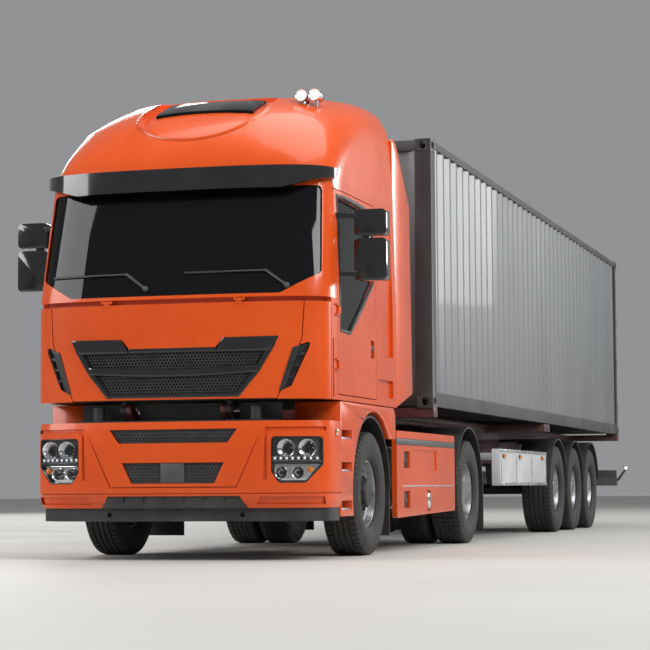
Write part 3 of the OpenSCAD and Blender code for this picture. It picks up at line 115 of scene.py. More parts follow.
def blend(tree, factor, a, b):
    node = tree.nodes.new("ShaderNodeMix")
    node.data_type = "RGBA"
    tree.links.new(factor, node.inputs[0])
    for socket, colour in ((node.inputs[6], a), (node.inputs[7], b)):
        if isinstance(colour, tuple):
            socket.default_value = (*colour, 1)
        else:
            tree.links.new(colour, socket)
    return node.outputs[2]


def surface(name, a, b, scale, rough, metal=0.0, coat=0.0, bump=0.0, grain=260.0, dirt=None,
            reach=(0.15, 1.1), stretch=None, spec=0.5, glow=None):
    """Two-tone noise colour, roughness from the same noise, fine grain bump and road dirt near the ground."""
    mat, tree, shader = new_material(name)
    coords = tree.nodes.new("ShaderNodeTexCoord").outputs["Object"]
    tone = noise_node(tree, coords, scale, 5.0, stretch)
    colour = blend(tree, spread(tree, tone, 0, 1), a, b)
    if dirt:
        split = tree.nodes.new("ShaderNodeSeparateXYZ")
        tree.links.new(coords, split.inputs[0])
        low = spread(tree, split.outputs["Z"], dirt[3], 0.0, *reach)
        patch = spread(tree, noise_node(tree, coords, 3.0, 8.0), 0.0, 1.0, 0.35, 0.65)
        mask = tree.nodes.new("ShaderNodeMath")
        mask.operation = "MULTIPLY"
        tree.links.new(low, mask.inputs[0])
        tree.links.new(patch, mask.inputs[1])
        colour = blend(tree, mask.outputs[0], colour, dirt[:3])
    tree.links.new(colour, shader.inputs["Base Color"])
    tree.links.new(spread(tree, tone, *rough), shader.inputs["Roughness"])
    shader.inputs["Metallic"].default_value = metal
    shader.inputs["Specular IOR Level"].default_value = spec
    shader.inputs["Coat Weight"].default_value = coat
    shader.inputs["Coat Roughness"].default_value = 0.04
    if glow:
        shader.inputs["Emission Color"].default_value = (*glow[:3], 1)
        shader.inputs["Emission Strength"].default_value = glow[3]
    if bump:
        node = tree.nodes.new("ShaderNodeBump")
        node.inputs["Strength"].default_value = bump
        node.inputs["Distance"].default_value = 0.002
        tree.links.new(noise_node(tree, coords, grain, 2.0), node.inputs["Height"])
        tree.links.new(node.outputs["Normal"], shader.inputs["Normal"])
    return mat


def glass(name, colour, clear):
    mat = surface(name, colour, tuple(c * 1.3 for c in colour), 2.0, (0.02, 0.05), spec=0.25)
    shader = mat.node_tree.nodes["Principled BSDF"]
    shader.inputs["Transmission Weight"].default_value = clear
    shader.inputs["IOR"].default_value = 1.45
    return mat


# Colour and strength of road dirt
ROAD = (0.10, 0.085, 0.07, 0.35)
PAINT = surface("orange_paint", (0.64, 0.070, 0.004), (0.72, 0.086, 0.006), 1.3, (0.24, 0.32),
                coat=0.3, bump=0.03, grain=900, dirt=ROAD, reach=(0.1, 0.6), spec=0.35)
BLACK = surface("black_moulding", (0.012, 0.012, 0.013), (0.022, 0.022, 0.024), 9, (0.42, 0.58),
                bump=0.35, grain=420, dirt=ROAD)
GLOSS = surface("gloss_black", (0.006, 0.006, 0.007), (0.012, 0.012, 0.013), 3, (0.08, 0.16), coat=0.8)
GREY = surface("grey_moulding", (0.055, 0.057, 0.06), (0.075, 0.077, 0.08), 8, (0.40, 0.55),
               bump=0.3, grain=420, dirt=ROAD)
MESH = surface("mesh_moulding", (0.030, 0.031, 0.033), (0.044, 0.045, 0.047), 9, (0.35, 0.5),
               bump=0.2, grain=420, dirt=ROAD)
CHROME = surface("chrome", (0.80, 0.81, 0.83), (0.90, 0.90, 0.91), 6, (0.05, 0.12), metal=1.0)
ALLOY = surface("wheel_silver", (0.52, 0.53, 0.55), (0.66, 0.67, 0.69), 7, (0.22, 0.36),
                metal=1.0, bump=0.08, grain=500, dirt=ROAD)
IRON = surface("dark_iron", (0.018, 0.018, 0.019), (0.035, 0.034, 0.033), 6, (0.45, 0.65),
               metal=0.5, bump=0.3, grain=120, dirt=ROAD)
CHASSIS = surface("chassis_paint", (0.055, 0.010, 0.010), (0.075, 0.014, 0.013), 4, (0.35, 0.5),
                  coat=0.2, bump=0.1, grain=200, dirt=ROAD)
RUBBER = surface("tyre_rubber", (0.012, 0.012, 0.012), (0.024, 0.023, 0.022), 14, (0.62, 0.8),
                 bump=0.3, grain=220, dirt=(0.07, 0.06, 0.05, 0.5), reach=(0.0, 0.6))
WALL = surface("container_paint", (0.130, 0.140, 0.149), (0.160, 0.170, 0.179), 1.1, (0.38, 0.52), coat=0.1,
               bump=0.1, grain=160, dirt=(0.16, 0.14, 0.12, 0.3), reach=(1.3, 2.6), stretch=(1, 1, 0.25))
FRAME = surface("container_frame_paint", (0.030, 0.031, 0.033), (0.046, 0.047, 0.049), 3, (0.36, 0.5),
                coat=0.1, bump=0.12, grain=160, dirt=ROAD, reach=(1.2, 2.2))
GUARD = surface("guard_panel", (0.60, 0.61, 0.63), (0.68, 0.69, 0.70), 2.5, (0.3, 0.42),
                coat=0.3, bump=0.05, grain=200, dirt=ROAD, reach=(0.4, 1.0))
TRIM = surface("cab_trim", (0.045, 0.045, 0.05), (0.07, 0.07, 0.075), 30, (0.7, 0.85), bump=0.5, grain=500)
STEEL = surface("zinc_steel", (0.42, 0.43, 0.44), (0.55, 0.55, 0.56), 20, (0.28, 0.42),
                metal=1.0, bump=0.1, grain=300)
AMBER = surface("amber_lens", (0.75, 0.20, 0.01), (0.9, 0.28, 0.02), 60, (0.1, 0.2),
                coat=0.6, bump=0.2, grain=500)
RED = surface("red_lens", (0.42, 0.008, 0.006), (0.55, 0.012, 0.008), 60, (0.1, 0.2),
              coat=0.6, bump=0.2, grain=500)
WHITE = surface("white_lens", (0.80, 0.82, 0.85), (0.92, 0.93, 0.95), 60, (0.06, 0.14),
                coat=0.6, glow=(0.9, 0.95, 1.0, 0.5))
SCREEN = glass("tinted_glass", (0.004, 0.005, 0.006), 0.25)
COVER = surface("lamp_cover", (0.040, 0.042, 0.046), (0.060, 0.062, 0.066), 20, (0.03, 0.06))
COVER.node_tree.nodes["Principled BSDF"].inputs["Alpha"].default_value = 0.12
MIRROR = surface("mirror_glass", (0.72, 0.74, 0.76), (0.78, 0.80, 0.82), 3, (0.02, 0.05), metal=1.0)


# Dressing of the CAD nodes
WELD_GAP = 0.00004
EDGE_ANGLE = 38


def shade(ob, bevel=0.0, angle=32):
    for poly in ob.data.polygons:
        poly.use_smooth = True
    weld = ob.modifiers.new("weld", "WELD")
    weld.merge_threshold = WELD_GAP
    if bevel:
        mod = ob.modifiers.new("edges", "BEVEL")
        mod.width = bevel
        mod.segments = 2
        mod.limit_method = "ANGLE"
        mod.angle_limit = math.radians(EDGE_ANGLE)
        mod.use_clamp_overlap = True
    split = ob.modifiers.new("split", "EDGE_SPLIT")
    split.split_angle = math.radians(angle)


def dress(names, mat, bevel=0.0, angle=32):
    for name in names.split():
        ob = nodes[name]
        ob.data.materials.clear()
        ob.data.materials.append(mat)
        shade(ob, bevel, angle)


dress("front_bumper side_skirts cab_rear_wall cab_sides cab_front cab_roof corner_deflectors", PAINT)
dress("front_lid door_left door_right", PAINT)
dress("entry_steps side_fairings", PAINT, 0.006)
dress("bumper_valance tractor_mudguards wipers front_grille trailer_mudguards", BLACK)
dress("mirror_left mirror_right", GLOSS, 0.008)
dress("sun_visor", GLOSS, 0.0, 20)
dress("roof_lamps fuel_tanks", ALLOY, 0.004)
dress("cab_hinges", PAINT)
dress("tractor_frame trailer_frame", CHASSIS, 0.003)
dress("front_axle drive_axle engine_block fifth_wheel knuckle_left knuckle_right", IRON, 0.004)
dress("trailer_axles landing_legs cab_floor", IRON, 0.004)
dress("rear_underrun", GREY, 0.004)
dress("cab_seats dashboard", TRIM, 0.012)
dress("roof_window windscreen door_glass_left door_glass_right", SCREEN)
dress("side_guards", GUARD, 0.006)
dress("container_frame", FRAME, 0.004)
dress("container_sides container_front container_roof", WALL, 0.0, 25)
dress("container_door_left container_door_right", WALL, 0.0, 25)


# Building of pieces; the smallest radius of a turned solid stands for its axis
AXIS_R = 0.0004


class Soup:
    """Closed solids gathered into one mesh, in metres in the shared frame."""

    def __init__(self):
        self.verts = []
        self.faces = []

    def add(self, verts, faces):
        base = len(self.verts)
        self.verts += [tuple(v) for v in verts]
        self.faces += [tuple(i + base for i in face) for face in faces]

    def loft(self, rings, closed=False):
        """Rings of equal count joined in order; ends capped unless the loft closes on itself."""
        n = len(rings[0])
        verts = [p for ring in rings for p in ring]
        last = len(rings) if closed else len(rings) - 1
        faces = []
        for i in range(last):
            a, b = i * n, ((i + 1) % len(rings)) * n
            faces += [(a + k, a + (k + 1) % n, b + (k + 1) % n, b + k) for k in range(n)]
        if not closed:
            faces += [tuple(range(n - 1, -1, -1)), tuple(range((len(rings) - 1) * n, len(rings) * n))]
        self.add(verts, faces)

    def box(self, x0, x1, y0, y1, z0, z1):
        self.loft([[(x, y0, z0), (x, y1, z0), (x, y1, z1), (x, y0, z1)] for x in (x0, x1)])

    def tube(self, path, r, n=10):
        rings = []
        path = [Vector(p) for p in path]
        for i, p in enumerate(path):
            t = (path[min(i + 1, len(path) - 1)] - path[max(i - 1, 0)]).normalized()
            side = t.cross(Vector((0, 0, 1)) if abs(t.z) < 0.9 else Vector((1, 0, 0))).normalized()
            up = side.cross(t)
            rings.append([p + r * (math.cos(a) * side + math.sin(a) * up)
                          for a in [2 * math.pi * k / n for k in range(n)]])
        self.loft(rings)

    def turn(self, profile, at, axis, n=32):
        """Profile of (radius, height) pairs turned about an axis through a point."""
        axis = Vector(axis).normalized()
        side = axis.cross(Vector((0, 0, 1)) if abs(axis.z) < 0.9 else Vector((1, 0, 0))).normalized()
        up = axis.cross(side)
        at = Vector(at)
        rings = []
        for k in range(n):
            a = 2 * math.pi * k / n
            out = math.cos(a) * side + math.sin(a) * up
            rings.append([at + axis * h + out * max(r, AXIS_R) for r, h in profile])
        self.loft(rings, True)

    def patch(self, layers, line, nu, nv, a, b):
        """Thick patch on a skin: line(u, v) gives (y, z); a and b are the outer and inner offsets."""
        def grid(offset):
            return [[(skin(layers, *line(i / nu, j / nv)) + offset, *line(i / nu, j / nv))
                     for j in range(nv + 1)] for i in range(nu + 1)]
        top, low = grid(a), grid(b)
        rings = [t + list(reversed(o)) for t, o in zip(top, low)]
        self.loft(rings)

    def mirrored(self):
        other = Soup()
        other.verts = [(x, -y, z) for x, y, z in self.verts]
        other.faces = [tuple(reversed(f)) for f in self.faces]
        return other

    def on(self, sign):
        """The solids for the left side, or their mirror for the right."""
        return self if sign > 0 else self.mirrored()

    def both(self):
        other = self.mirrored()
        self.add(other.verts, other.faces)
        return self

    def make(self, name, body, mat, slot, bevel=0.0, angle=35):
        mesh = bpy.data.meshes.new(name)
        mesh.from_pydata(self.verts, [], self.faces)
        mesh.materials.append(mat)
        ob = bpy.data.objects.new(name, mesh)
        bpy.context.scene.collection.objects.link(ob)
        shade(ob, bevel, angle)
        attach(ob, body)
        return ob


def quad(p, q, r, s):
    """Bilinear map of a (y, z) quadrilateral."""
    def line(u, v):
        return tuple((p[i] * (1 - u) + q[i] * u) * (1 - v) + (s[i] * (1 - u) + r[i] * u) * v for i in (0, 1))
    return line


# Tyres with tread and the rims from the CAD wheels: depth of the tread's cuts, radii within which
# a face is metal or dark disc, diameter and width of the tyres, and half the spacing of the twins
TREAD_CUT = 0.011
RIM_R = 0.28565
DISC_R = 0.245
TRACTOR_D, TRACTOR_W = 1.040, 0.315
TRAILER_D, TRAILER_W = 1.072, 0.385
TWIN = 0.175


def tyre(name, at, sign, d, w, body, blocks):
    r, bead, half = d / 2, 0.2858, 0.37
    # Radius and share of the width
    side = [(bead, 0.40), (bead + 0.014, 0.43), (bead + 0.030, 0.452), (bead + 0.034, 0.462),
            (bead + 0.06, 0.481), (bead + 0.11, 0.5), (r - 0.10, 0.496), (r - 0.078, 0.489),
            (r - 0.072, 0.479), (r - 0.03, 0.465), (r - 0.008, 0.43), (r, half)]
    profile = [(p, h * w, 0) for p, h in side]
    for g in (0.62, 0.21, -0.21, -0.62):
        c, k, floor = g * half * w, 0.0065, r - 0.013
        profile += [(r, c + k, 1), (floor, c + k - 0.002, 2), (floor, c - k + 0.002, 2), (r, c - k, 1)]
    profile += [(p, -h * w, 0) for p, h in reversed(side)]
    rings = []
    pitches = 60
    for i in range(pitches):
        for part, cut in ((0.0, 0), (0.03, 1), (0.17, 1), (0.20, 0)):
            a = 2 * math.pi * (i + part) / pitches
            ring = []
            for p, h, kind in profile:
                shoulder = abs(h) > 0.60 * half * w and p > r - 0.031 and kind != 2
                q = p - TREAD_CUT if cut and (shoulder or blocks and kind == 1) else p
                ring.append((at[0] + q * math.cos(a), at[1] + sign * h, at[2] + q * math.sin(a)))
            rings.append(ring if sign < 0 else list(reversed(ring)))
    soup = Soup()
    soup.loft(rings, True)
    return soup.make(name, body, RUBBER, "tyre", 0, 24)


def rim(name, node, at, dark):
    """The wheel's metal as its own piece, taken from the CAD solid inside the tyre seat."""
    mesh = nodes[node].data
    keep = []
    for poly in mesh.polygons:
        points = [mesh.vertices[i].co for i in poly.vertices]
        if max(math.hypot(p.x - at[0], p.z - at[2]) for p in points) < RIM_R:
            keep.append(tuple(poly.vertices))
    used = sorted({i for face in keep for i in face})
    index = {old: new for new, old in enumerate(used)}
    soup = Soup()
    soup.add([mesh.vertices[i].co for i in used], [tuple(index[i] for i in face) for face in keep])
    ob = soup.make(name, node, ALLOY, "bright_metal", 0.0015, 30)
    if dark:
        ob.data.materials.append(IRON)
        for poly in ob.data.polygons:
            c = poly.center
            if math.hypot(c.x - at[0], c.z - at[2]) < DISC_R:
                poly.material_index = 1
    return ob


for side, sign in SIDES:
    # Node, axle place, half track, tyre diameter and width, offsets of its tyres, dark disc
    wheels = [("wheel_front_" + side, AX1, 1.062, TRACTOR_D, TRACTOR_W, (0.0,), True),
              ("wheel_drive_" + side, AX2, 0.9125, TRACTOR_D, TRACTOR_W, (-TWIN, TWIN), False)]
    for i, x in enumerate(BOGIE):
        wheels.append(("wheel_trailer_%d_%s" % (i + 1, side), x, 1.0525, TRAILER_D, TRAILER_W, (0.0,), False))
    for node, x, y, d, w, offsets, dark in wheels:
        at = (x, sign * y, d / 2)
        for k, off in enumerate(offsets):
            seat = (at[0], at[1] + sign * off, at[2])
            ob = tyre("tyre_%d_%s" % (k + 1, node), seat, sign, d, w, node, "drive" in node)
            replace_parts(ob, node)
        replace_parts(rim("rim_" + node, node, at, dark), node)


# Grille with two rows of honeycomb, arched bar, frame and brow corners; the row spacing and the
# corner radius of a honeycomb are shares of its pitch
HEX_ROW, HEX_CORNER = 0.866, 0.5774


def hexagon(x, y, z, section):
    """Rings round a six-sided cell; section gives (radius, offset in x) pairs."""
    turns = [math.radians(60 * k + 30) for k in range(6)]
    return [[(x + d, y + r * math.cos(a), z + r * math.sin(a)) for r, d in section] for a in turns]


def honeycomb(soup, layers, inside, y0, y1, z0, z1, pitch, wall, a, b):
    """Cells on a skin wherever inside(y, z) holds; a and b are the outer and inner offsets."""
    rows = int((z1 - z0) / (pitch * HEX_ROW)) + 1
    cols = int((y1 - y0) / pitch) + 1
    for j in range(rows + 1):
        for i in range(cols + 1):
            y = y0 + (i + 0.5 * (j % 2)) * pitch
            z = z0 + j * pitch * HEX_ROW
            if not inside(y, z):
                continue
            x, r = skin(layers, y, z), pitch * HEX_CORNER
            soup.loft(hexagon(x, y, z, ((r, a), (r - wall, a), (r - wall, b), (r, b))), True)


# Height and half width of the grille
GRILLE = [(1.290, 0.555), (1.485, 0.720), (1.670, 0.833), (1.765, 0.877)]


def arch_z(y):
    """Middle height of the arched bar."""
    return 1.486 + 0.03 * (y / 0.74) ** 2


def grille_half(z):
    for (z0, y0), (z1, y1) in zip(GRILLE, GRILLE[1:]):
        if z <= z1:
            return y0 + (y1 - y0) * (z - z0) / (z1 - z0)


def grille_strip(z0, z1, inset):
    def line(u, v):
        z = z0 + (z1 - z0) * v
        return (2 * u - 1) * (grille_half(z) - inset), z
    return line


def arch_line(u, v):
    y = (2 * u - 1) * 0.715
    return y, arch_z(y) - 0.027 + 0.054 * v


def grille_edge(u, v):
    z = 1.291 + 0.473 * v
    return grille_half(z) - 0.044 + 0.043 * u, z


backing = Soup()
backing.patch(CAB, grille_strip(1.292, 1.684, 0.002), 36, 14, -0.030, -0.036)
mesh = Soup()
honeycomb(mesh, CAB, lambda y, z: abs(y) < grille_half(z) - 0.030 and arch_z(y) + 0.024 < z < 1.668,
          -0.884, 0.884, 1.30, 1.70, 0.028, 0.0042, -0.010, -0.0305)
honeycomb(mesh, CAB, lambda y, z: abs(y) < grille_half(z) - 0.030 and 1.312 < z < arch_z(y) - 0.024,
          -0.884, 0.884, 1.30, 1.52, 0.028, 0.0042, -0.010, -0.0305)
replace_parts(backing.make("grille_backing", "lid", BLACK, "black_plastic"), "front_grille")
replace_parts(mesh.make("grille_honeycomb", "lid", MESH, "black_plastic", 0, 30), "front_grille")

bars = Soup()
bars.patch(CAB, arch_line, 44, 3, 0.006, -0.034)
bars.patch(CAB, quad((-0.37, 1.654), (0.37, 1.654), (0.366, 1.684), (-0.366, 1.684)), 30, 1, 0.002, -0.034)
bars.patch(CAB, grille_strip(1.291, 1.322, 0.001), 30, 1, 0.002, -0.034)
edge = Soup()
edge.patch(CAB, grille_edge, 2, 20, 0.004, -0.034)
edge.patch(CAB, quad((0.366, 1.652), (0.80, 1.652), (0.874, 1.764), (0.431, 1.759)), 18, 5, 0.009, -0.034)
edge.both()
bars.add(edge.verts, edge.faces)
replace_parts(bars.make("grille_bars", "lid", GLOSS, "gloss_black", 0.004), "front_grille")

# Bumper meshes, centre block, valance ribs and slot mesh
mesh = Soup()
honeycomb(mesh, BUMPER, lambda y, z: 0.945 < z < 1.028 and abs(y) < 0.44 + 0.7 * (z - 0.93),
          -0.56, 0.56, 0.945, 1.03, 0.030, 0.005, -0.012, -0.0215)
honeycomb(mesh, BUMPER, lambda y, z: 0.625 < z < 0.762 and 0.115 < abs(y) < 0.335 + 0.45 * (z - 0.61),
          -0.45, 0.45, 0.625, 0.765, 0.030, 0.005, -0.012, -0.0215)
mesh.make("bumper_honeycomb", "tractor", MESH, "black_plastic", 0, 30)
block = Soup()
block.patch(BUMPER, quad((-0.10, 0.613), (0.10, 0.613), (0.10, 0.772), (-0.10, 0.772)), 4, 2, -0.004, -0.0215)
block.make("bumper_centre_block", "tractor", GREY, "black_plastic", 0.004)
ribs = Soup()
for k in range(6):
    y = 0.17 * (k - 2.5)
    y0, y1 = y - 0.006, y + 0.006
    ribs.patch(BUMPER, quad((y0, 0.424), (y1, 0.424), (y1, 0.506), (y0, 0.506)), 1, 4, 0.006, -0.020)
ribs.make("valance_ribs", "tractor", BLACK, "black_plastic", 0.001)
slot = Soup()
cell = ((0.0144, 0.008), (0.0105, 0.008), (0.0105, 0), (0.0144, 0))
for j in range(5):
    for i in range(29):
        y, z = -0.36 + (i + 0.5 * (j % 2)) * 0.025, 1.135 + j * 0.0217
        slot.loft(hexagon(FRONT - 0.2295, y, z, cell), True)
slot.make("slot_honeycomb", "tractor", MESH, "black_plastic", 0, 30)

# Headlamps: housing, reflectors, surround, bowls, projectors, light row, strips, turn lamps and
# covers; the corners of the left opening are (y, z) pairs
LAMP = [(0.81, 0.70), (0.87, 0.61), (1.08, 0.61), (1.20, 0.75), (1.20, 0.975), (0.81, 0.975)]


def lamp_edge(z, inset):
    """Inner and outer edge of the opening at a height; its lower corners are cut off."""
    inner = 0.81 + max(0.0, (0.70 - z) / 0.09 * 0.06) + inset
    outer = 1.20 - max(0.0, (0.75 - z) / 0.14 * 0.12) - inset
    return inner, outer


def lamp_patch(z0, z1, inset):
    def line(u, v):
        z = z0 + (z1 - z0) * v
        lo, hi = lamp_edge(z, inset)
        return lo + (hi - lo) * u, z
    return line


def lamp_frame(soup, width, a, b):
    middle_y, middle_z = 1.0, 0.80
    edge = []
    for p, q in zip(LAMP, LAMP[1:] + LAMP[:1]):
        edge += [tuple(p[i] + (q[i] - p[i]) * t / 6 for i in (0, 1)) for t in range(6)]
    rings = []
    for y, z in edge:
        outer = (y + (middle_y - y) * 0.006, z + (middle_z - z) * 0.006)
        inner = (y + (middle_y - y) * width, z + (middle_z - z) * width)
        rings.append([(skin(BUMPER, *outer) + a, *outer), (skin(BUMPER, *inner) + a, *inner),
                      (skin(BUMPER, *inner) + b, *inner), (skin(BUMPER, *outer) + b, *outer)])
    soup.loft(rings, True)


housing = Soup()
housing.patch(BUMPER, lamp_patch(0.612, 0.973, 0.002), 14, 8, -0.048, -0.053)
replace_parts(housing.both().make("lamp_housing", "tractor", GREY, "lamp"), "headlamps")
reflector = Soup()
reflector.patch(BUMPER, lamp_patch(0.624, 0.758, 0.014), 14, 6, -0.040, -0.046)
reflector.both().make("lamp_lower_reflectors", "tractor", CHROME, "bright_metal", 0.002)
surround = Soup()
lamp_frame(surround, 0.055, -0.004, -0.048)
surround.patch(BUMPER, lamp_patch(0.766, 0.782, 0.003), 14, 1, -0.008, -0.046)
surround.both().make("lamp_surround", "tractor", GLOSS, "gloss_black", 0.002)
bowls, projectors, dots, strips = Soup(), Soup(), Soup(), Soup()
for y, z, r in ((0.925, 0.882, 0.066), (1.085, 0.882, 0.066), (0.885, 0.690, 0.045), (1.015, 0.690, 0.045)):
    x = skin(BUMPER, y, z) - 0.016
    bowls.turn([(0.2 * r, -0.030), (0.55 * r, -0.024), (0.85 * r, -0.010), (r, 0), (1.08 * r, 0.003),
                (1.08 * r, -0.003), (0.9 * r, -0.014), (0.6 * r, -0.028), (0.2 * r, -0.031)],
               (x, y, z), (1, 0, 0), 36)
    for k in range(14):
        a = 2 * math.pi * k / 14
        bowls.tube([(x - 0.020, y + 0.6 * r * math.cos(a), z + 0.6 * r * math.sin(a)),
                    (x - 0.004, y + 0.93 * r * math.cos(a), z + 0.93 * r * math.sin(a))], 0.002, 6)
    projectors.turn([(0, 0.006), (0.16 * r, 0.005), (0.30 * r, 0.0), (0.38 * r, -0.008), (0.38 * r, -0.030),
                     (0, -0.030)], (x, y, z), (1, 0, 0), 28)
bowls.both().make("lamp_bowls", "tractor", CHROME, "bright_metal", 0, 40)
projectors.both().make("lamp_projectors", "tractor", SCREEN, "lamp", 0, 40)
for k in range(8):
    y = 0.838 + 0.0455 * k
    dots.turn([(0, 0.007), (0.006, 0.006), (0.010, 0.001), (0.011, -0.004), (0, -0.004)],
              (skin(BUMPER, y, 0.803) - 0.014, y, 0.803), (1, 0, 0), 16)
dots.both().make("lamp_light_row", "tractor", WHITE, "lamp", 0, 50)
strips.patch(BUMPER, lamp_patch(0.784, 0.789, 0.006), 14, 1, -0.009, -0.030)
strips.patch(BUMPER, lamp_patch(0.815, 0.819, 0.006), 14, 1, -0.012, -0.030)
strips.both().make("lamp_strips", "tractor", CHROME, "bright_metal")
turn_lamp = Soup()
turn_lamp.turn([(0, 0.008), (0.014, 0.006), (0.024, 0), (0.026, -0.010), (0, -0.010)],
               (skin(BUMPER, 1.105, 0.715) - 0.014, 1.105, 0.715), (1, 0, 0), 28)
turn_lamp.both().make("turn_lamps", "tractor", AMBER, "lamp", 0, 40)
cover = Soup()
cover.patch(BUMPER, lamp_patch(0.612, 0.973, 0.002), 16, 8, -0.0015, -0.0035)
cover.both().make("lamp_covers", "tractor", COVER, "lamp")

# Corner vents, side slits and the corner marker lamps
vents = Soup()
vent = quad((0.880, 1.332), (0.968, 1.372), (1.108, 1.712), (0.988, 1.672))
vents.patch(CAB, vent, 6, 10, -0.018, -0.0295)
for t in (0.24, 0.50, 0.76):
    vents.patch(CAB, lambda u, v, t=t: vent(0.05 + 0.9 * u, t + 0.055 * v - 0.04 * u), 6, 1, 0.003, -0.020)
for t in (0.0, 0.955):
    vents.patch(CAB, lambda u, v, t=t: vent(t + 0.045 * v, u), 10, 1, 0.004, -0.020)
vents.patch(CAB, lambda u, v: vent(0.50 * u, v), 5, 10, 0.008, -0.020)
vents.box(AX1 + 1.223, AX1 + 1.249, 1.2005, 1.232, 1.292, 1.756)
vents.both().make("cab_corner_vents", "cab", BLACK, "black_plastic", 0.002)
marks = Soup()
marks.box(AX1 + 1.15, AX1 + 1.21, 1.243, 1.262, 0.985, 1.035)
marks.both().make("corner_marker_frames", "tractor", CHROME, "bright_metal", 0.006)
marks = Soup()
marks.box(AX1 + 1.158, AX1 + 1.202, 1.25, 1.268, 0.993, 1.027)
marks.both().make("corner_marker_lenses", "tractor", AMBER, "lamp", 0.006)

# Skirt stripe, light line, pocket inserts and filler cap
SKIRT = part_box("side_skirts")[1].x
stripe = Soup()
stripe.box(AX2 + 0.702, SKIRT - 0.002, 1.2355, 1.2440, 0.949, 1.001)
stripe.both().make("skirt_stripe", "tractor", GREY, "black_plastic", 0.002)
line = Soup()
line.box(SKIRT - 2.278, SKIRT - 0.222, 1.2375, 1.2460, 0.576, 0.585)
line.both().make("skirt_line", "tractor", GUARD, "guard_panel", 0.001)
pockets = Soup()
for z in (0.740, 0.385):
    pockets.box(SKIRT - 0.476, SKIRT - 0.264, 1.2175, 1.221, z + 0.004, z + 0.146)
    pockets.box(SKIRT - 0.40, SKIRT - 0.30, 1.219, 1.238, z + 0.055, z + 0.085)
pockets.box(SKIRT - 1.287, SKIRT - 1.163, 1.2255, 1.2285, 0.353, 0.537)
pockets.both().make("skirt_pockets", "tractor", BLACK, "black_plastic", 0.003)
cap = Soup()
dome = ((1.0, 0.0), (0.97, 0.006), (0.80, 0.011), (0.5, 0.0135), (0.2, 0.0145), (0.02, 0.0145))
cap.loft([[(SKIRT - 1.225 + 0.047 * r * math.cos(a), 1.2435 + h, 0.445 + 0.078 * r * math.sin(a))
           for a in [2 * math.pi * i / 40 for i in range(40)]] for r, h in dome])
cap.both().make("filler_cap", "tractor", CHROME, "bright_metal", 0, 50)

# Door handles and mirror glass
for side, sign in SIDES:
    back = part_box("door_" + side)[0].x - 0.008
    grip = Soup()
    grip.box(back + 0.074, back + 0.176, 1.2172, 1.2205, 1.664, 1.806)
    grip.box(back + 0.084, back + 0.166, 1.2195, 1.2435, 1.722, 1.768)
    grip.box(back + 0.110, back + 0.140, 1.2195, 1.236, 1.676, 1.706)
    grip.on(sign).make("door_handle_" + side, "door_" + side, BLACK, "black_plastic", 0.004)
    face = AX1 + 0.840
    panes = Soup()
    for z0, z1 in ((2.255, 2.560), (2.620, 2.795)):
        panes.box(face - 0.003, face + 0.002, 1.362, 1.588, z0, z1)
    panes.on(sign).make("mirror_panes_" + side, "door_" + side, MIRROR, "glass", 0.006)


# Window trims
def side_y(x, z):
    """Half width of the cab skin at a place along its side."""
    lo, hi = 0.8, 1.245
    for _ in range(40):
        y = (lo + hi) / 2
        lo, hi = (y, hi) if skin(CAB, y, z) > x else (lo, y)
    return lo


def ring_on_side(soup, corners, width, a, b, steps=14):
    """Band round a window outline on the cab side, from a to b beyond the skin."""
    cx = sum(p[0] for p in corners) / len(corners)
    cz = sum(p[1] for p in corners) / len(corners)
    rings = []
    for p, q in zip(corners, corners[1:] + corners[:1]):
        for t in range(steps):
            x, z = (p[i] + (q[i] - p[i]) * t / steps for i in (0, 1))
            far = math.hypot(x - cx, z - cz)
            ox, oz = x + (x - cx) / far * width, z + (z - cz) / far * width
            yo, yi = side_y(ox, oz), side_y(x, z)
            rings.append([(ox, yo + b, oz), (ox, yo + a, oz), (x, yi + a, z), (x, yi + b, z)])
    soup.loft(rings, True)


DOOR_FRONT, DOOR_REAR, DOOR_TOP = AX1 + 1.130, AX1 - 0.090, 2.980
WINDOW = [(DOOR_FRONT - 0.097, DOOR_TOP - 0.067), (DOOR_REAR + 0.122, DOOR_TOP - 0.092),
          (DOOR_REAR + 0.102, 2.300), (DOOR_FRONT - 0.390, 1.842), (DOOR_FRONT - 0.097, 1.842)]
for side, sign in SIDES:
    trim = Soup()
    ring_on_side(trim, WINDOW, 0.030, 0.004, -0.016)
    trim.on(sign).make("window_trim_" + side, "door_" + side, BLACK, "black_plastic", 0.001)

# Wiper arms
arms = Soup()
for y in (-0.395, 0.772):
    foot, elbow, tip = (y + 0.165, 2.165), (y - 0.010, 2.290), (y - 0.34, 2.288)
    for p, q, r in ((foot, elbow, 0.008), (elbow, tip, 0.006)):
        path = [tuple(p[i] + (q[i] - p[i]) * t / 8 for i in (0, 1)) for t in range(9)]
        arms.tube([(skin(CAB, *s) + 0.009, *s) for s in path], r, 10)
    arms.turn([(0, 0.026), (0.014, 0.024), (0.022, 0.014), (0.024, 0.0), (0, 0.0)],
              (skin(CAB, *foot) - 0.002, *foot), (1, 0, 0.2), 24)
arms.make("wiper_arms", "cab", GREY, "black_plastic", 0, 40)

